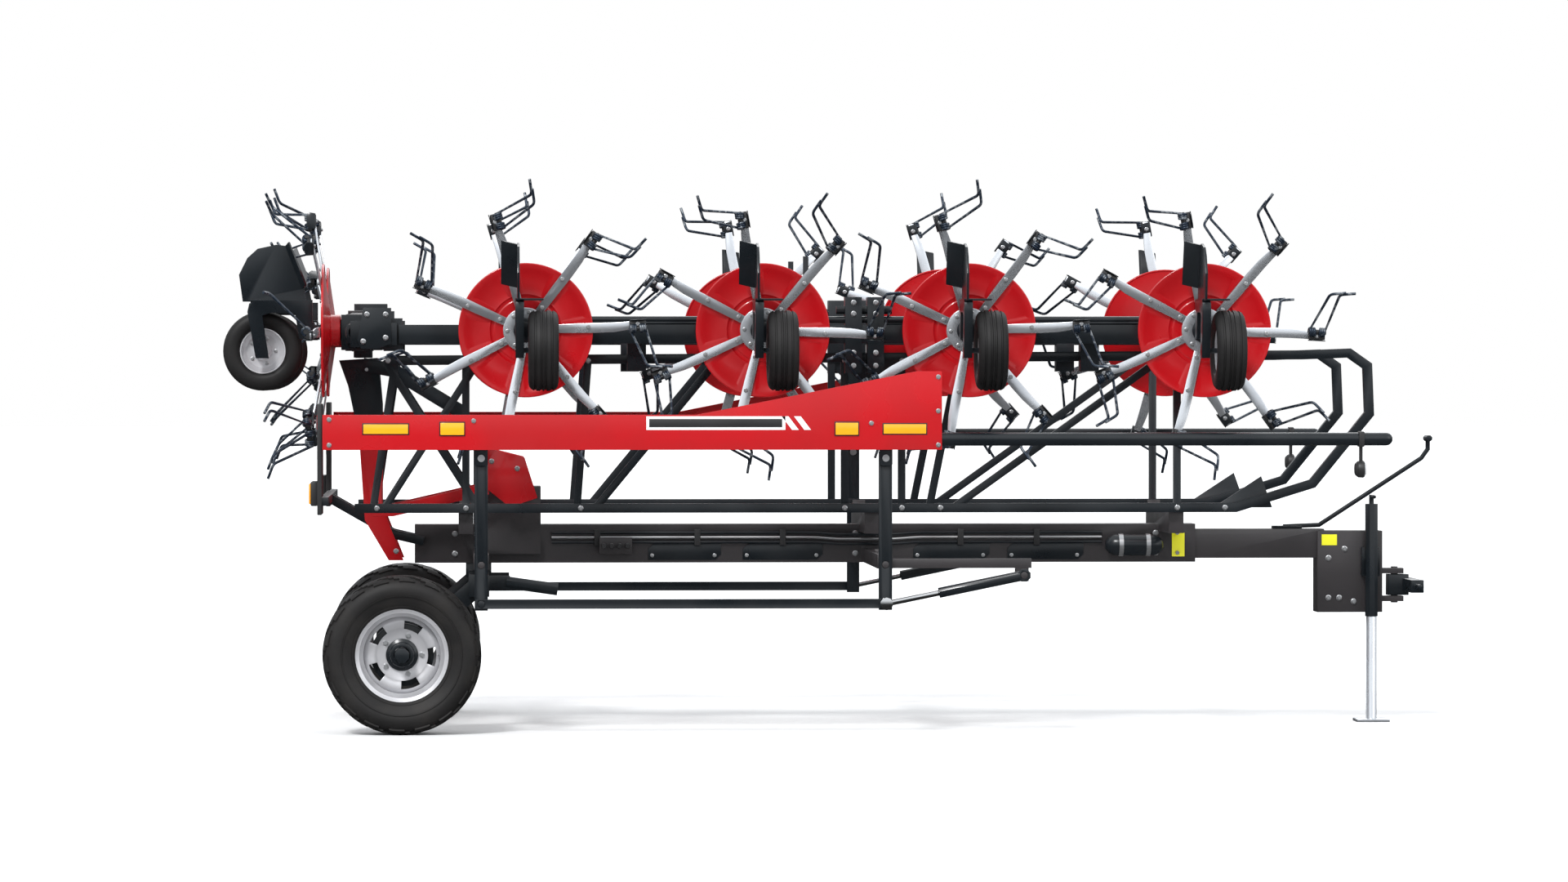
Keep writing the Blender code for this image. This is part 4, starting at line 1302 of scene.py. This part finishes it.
    def lines(self) -> None:
        """Models the steel hydraulic lines along the chassis and the wing beams, with their clips."""
        parts = []
        for s in (-1, 1):
            near, far = s * self.pipe_y, s * (self.pipe_y + 0.010)
            for k in range(3):
                z = 1.045 - 0.026 * k
                path = [(-1.55, near, z), (-0.10, near, z), (0.02, far, z - 0.01), (0.34, far, z - 0.01)]
                path += [(0.46, near, z), (1.48, near, z)]
                parts.append(rod(eased(path, 0.05), 0.0075, 8, BOLT if k == 1 else DARK))
            for x in self.clip_x:
                parts.append(block((x, near, 1.019), (0.034, 0.026, 0.090), 0.003, PLASTIC))
            for y in (self.beam_y - 0.022, self.beam_y + 0.022):
                for ends in self.wing_line_x:
                    path = [(x, s * y, self.wing_line_z) for x in ends]
                    parts.append(rod(path, 0.0085, 8, DARK))
        mounted(united("hydraulic_lines", parts, 40), "frame", "dark_paint")

    def canisters(self) -> None:
        """Models the pressure vessels and the valve block on the chassis."""
        half = [(0.058, 0.080), (0.056, 0.112), (0.044, 0.140), (0.022, 0.158), (0.0, 0.160)]
        profile = [(r, -h) for r, h in half[::-1]] + half
        ring = [(0.058, -0.012), (0.0615, -0.012), (0.0615, 0.012), (0.058, 0.012)]
        solenoid = [(0.0, 0.0), (0.015, 0.0), (0.015, 0.050), (0.012, 0.056), (0.0, 0.056)]
        parts = []
        for s in (-1, 1):
            y, z = s * self.vessel_y, self.chassis_z
            parts.append(turned(profile, 28, pointing((self.vessel_x, y, z), FORWARD), DARK))
            for x in (self.vessel_x - 0.075, self.vessel_x + 0.075):
                parts.append(painted(put(lathe(ring, 28), pointing((x, y, z), FORWARD)), BOLT))
                parts.append(block((x, s * 0.108, z), (0.030, 0.020, 0.080), 0.002, DARK))
        parts.append(block((-1.20, -0.135, self.chassis_z), (0.180, 0.070, 0.090), 0.004, GREY))
        for k in range(4):
            coil = pointing((-1.265 + 0.043 * k, -0.170, self.chassis_z), (0, -1, 0))
            parts.append(turned(solenoid, 16, coil, PLASTIC))
        mounted(united("pressure_vessels", parts, 35), "frame", "dark_paint")

    def covers(self) -> None:
        """Models the bolted cover plates along both sides of the chassis."""
        parts, heads = [], []
        (low, high), cut = self.cover_z, 0.03
        for s in (-1, 1):
            for x0, x1 in self.cover_x:
                corners = [(x0, low), (x1 - cut, low), (x1, low + cut), (x1, high), (x0 + cut, high)]
                corners += [(x0, high - cut)]
                outline = [(x, s * (self.chassis_y - 0.0005), z) for x, z in corners]
                parts.append(plate(outline, (0, s * 0.0055, 0), 0.0015, DARK))
                for x in (x0 + 0.022, x1 - 0.035):
                    heads.append(((x, s * (self.chassis_y + 0.005), low + 0.024), (0, s, 0)))
        mounted(united("cover_plates", parts + self.bolts.at(heads, 0.008)), "frame", "dark_paint")

    def lamps(self) -> None:
        """Models the lamp units on the rear lighting boards."""
        boards, lenses = [], []
        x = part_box("lighting_bar")[0].x
        for s in (-1, 1):
            y, z = s * self.board_y, self.lamp_z
            boards.append(block((x + 0.010, y, 1.463), (0.024, 0.402, 0.588), 0.004, PLASTIC))
            boards.append(block((x - 0.020, y, z), (0.038, 0.240, 0.130), 0.008, PLASTIC))
            for off, finish in ((-0.075, AMBER), (0.0, RED_LENS), (0.075, RED_LENS)):
                lens = (x - 0.042, s * (self.board_y - off), z)
                lenses.append(block(lens, (0.012, 0.068, 0.110), 0.005, finish))
            for height, finish in ((1.66, RED_LENS), (1.50, WHITE)):
                lenses.append(block((x - 0.003, y, height), (0.003, 0.300, 0.075), 0.001, finish))
        mounted(united("lighting_boards", boards), "frame", "dark_paint")
        mounted(united("rear_lamps", lenses), "frame", "red_paint")

    def pins(self) -> None:
        """Models the pins and bolts at the hinges, the cradle joints and the head."""
        truss = [(x, self.rail_z) for x in (-2.44, -2.02, -1.36, 0.03, 0.34)] + [(1.74, self.rail_z + 0.01)]
        truss += [(x, self.foot_z) for x in (-2.50, -2.02, -1.40, 0.03, 0.34, 0.55, 1.84, 2.10)]
        rows = {
            self.truss_y: truss,
            self.joint_y: [(x, z) for x in (0.065, 0.185) for z in (1.96, 2.03, 2.24, 2.30)],
            self.bracket_y: [(-2.57, 2.09), (-2.55, 2.235), (-2.45, 2.235), (-2.45, 2.11)],
            self.mast_y: [(-2.56, 1.94), (-2.51, 1.22), (-2.40, 0.95)],
            self.cheek_y: [(-1.88, 1.44), (-1.74, 1.40)],
        }
        heads = []
        for s in (-1, 1):
            for y, row in rows.items():
                heads += [((x, s * y, z), (0, s, 0)) for x, z in row]
        mounted(united("frame_bolts", self.bolts.at(heads, 0.011)), "frame", "zinc")

    def build(self) -> None:
        """Models and dresses the whole frame."""
        self.skins()
        self.gearboxes()
        self.drive_shafts()
        self.plates()
        self.lines()
        self.canisters()
        self.covers()
        self.lamps()
        self.pins()


# Studio.


@dataclass
class Studio:
    """The pale floor, the soft lights and the camera."""

    aim: tuple[float, float, float] = (-0.335, -1.30, 1.56)
    eye: tuple[float, float, float] = (-2.05, -34.3, 1.90)
    lens: float = 143.0
    ambient: float = 0.48
    horizon: tuple[float, float] = (-0.04, 0.22)
    key: float = 2.1
    fill: float = 0.5
    back: float = 0.7

    def floor(self) -> None:
        """Lays the pale floor."""
        at_rest()
        bpy.ops.mesh.primitive_plane_add(size=400)
        floor = bpy.context.object
        floor.name = floor.data.name = "studio_floor"
        shades = (0.93, 0.93, 0.93), (0.92, 0.92, 0.92)
        pale = Finish("pale_floor", "none", *shades, (0.8, 0.9), scale=3.0, relief=0.0)
        painted(floor, pale)
        floor.visible_glossy = False

    def lights(self) -> None:
        """Sets the soft lights and the pale surroundings, white where they are seen."""
        scene = bpy.context.scene
        scene.view_settings.view_transform = "Standard"
        world = bpy.data.worlds.new("pale_surroundings")
        scene.world = world
        world.use_nodes = True
        tree = world.node_tree
        soft = tree.nodes["Background"]
        soft.inputs["Strength"].default_value = self.ambient
        nodes = Shading(tree, "Generated")
        low, high = (0.05, 0.05, 0.05), (1.85, 1.90, 1.96)
        sky = nodes.blend(nodes.ramp(nodes.height(), *self.horizon), low, high)
        nodes.feed(soft, {"Color": sky})
        seen = nodes.add("Background", {"Color": (1, 1, 1)})
        viewed = nodes.add("LightPath").outputs["Is Camera Ray"]
        choice = nodes.add("MixShader", {0: viewed, 1: soft.outputs[0], 2: seen.outputs[0]})
        nodes.feed(tree.nodes["World Output"], {"Surface": choice.outputs[0]})
        for name, aim, spread, power in (
            ("key", (0.35, 0.75, -0.85), 12.0, self.key),
            ("fill", (-0.8, 0.7, -0.5), 40.0, self.fill),
            ("back", (-0.2, -1.0, -0.8), 40.0, self.back),
        ):
            lamp = bpy.data.lights.new(name + "_light", "SUN")
            lamp.angle = math.radians(spread)
            lamp.energy = power
            thing = bpy.data.objects.new(name + "_light", lamp)
            bpy.context.scene.collection.objects.link(thing)
            thing.rotation_euler = Vector(aim).to_track_quat("-Z", "Y").to_euler()

    def camera(self) -> None:
        """Sets the camera far off the right-hand side, a little behind the middle."""
        data = bpy.data.cameras.new("camera")
        data.lens = self.lens
        data.clip_end = 500.0
        thing = bpy.data.objects.new("camera", data)
        bpy.context.scene.collection.objects.link(thing)
        thing.location = self.eye
        thing.rotation_euler = (Vector(self.aim) - Vector(self.eye)).to_track_quat("-Z", "Y").to_euler()
        bpy.context.scene.camera = thing

    def build(self) -> None:
        """Sets up the studio."""
        self.floor()
        self.lights()
        self.camera()


def rotor_places(joints: Sequence[dict]) -> list[RotorPlace]:
    """Reads where the rotors and their wheels stand.

    Args:
        joints: The record's joints.

    Returns:
        The ten rotors.
    """
    where = {joint["name"]: Vector(joint["pos_m"]) for joint in joints if "pos_m" in joint}
    places = []
    for side, word in SIDES:
        for index in range(1, 6):
            name = f"{word}_{index}"
            hub, wheel = where["rotor_spin_" + name], where["gauge_wheel_spin_" + name]
            places.append(RotorPlace(name, index, side, hub, wheel))
    return places


def main() -> None:
    """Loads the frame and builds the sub-assemblies in order."""
    logging.basicConfig(level=logging.INFO, format="%(message)s")
    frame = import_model()
    joints = frame["joints"]
    places = rotor_places(joints)
    where = {joint["name"]: Vector(joint["pos_m"]) for joint in joints if "pos_m" in joint}
    Studio().build()
    bolts = Fastener()
    for hand in (1, -1):
        Rotor(hand, bolts).build(places)
    GaugeWheel().build(places, bolts)
    for side, word in SIDES:
        RoadWheel(side, where["road_wheel_spin_" + word], bolts).build()
        Guard(side, bolts).build()
    Frame(bolts, places).build()
    bolts.close()


if __name__ == "__main__":
    main()
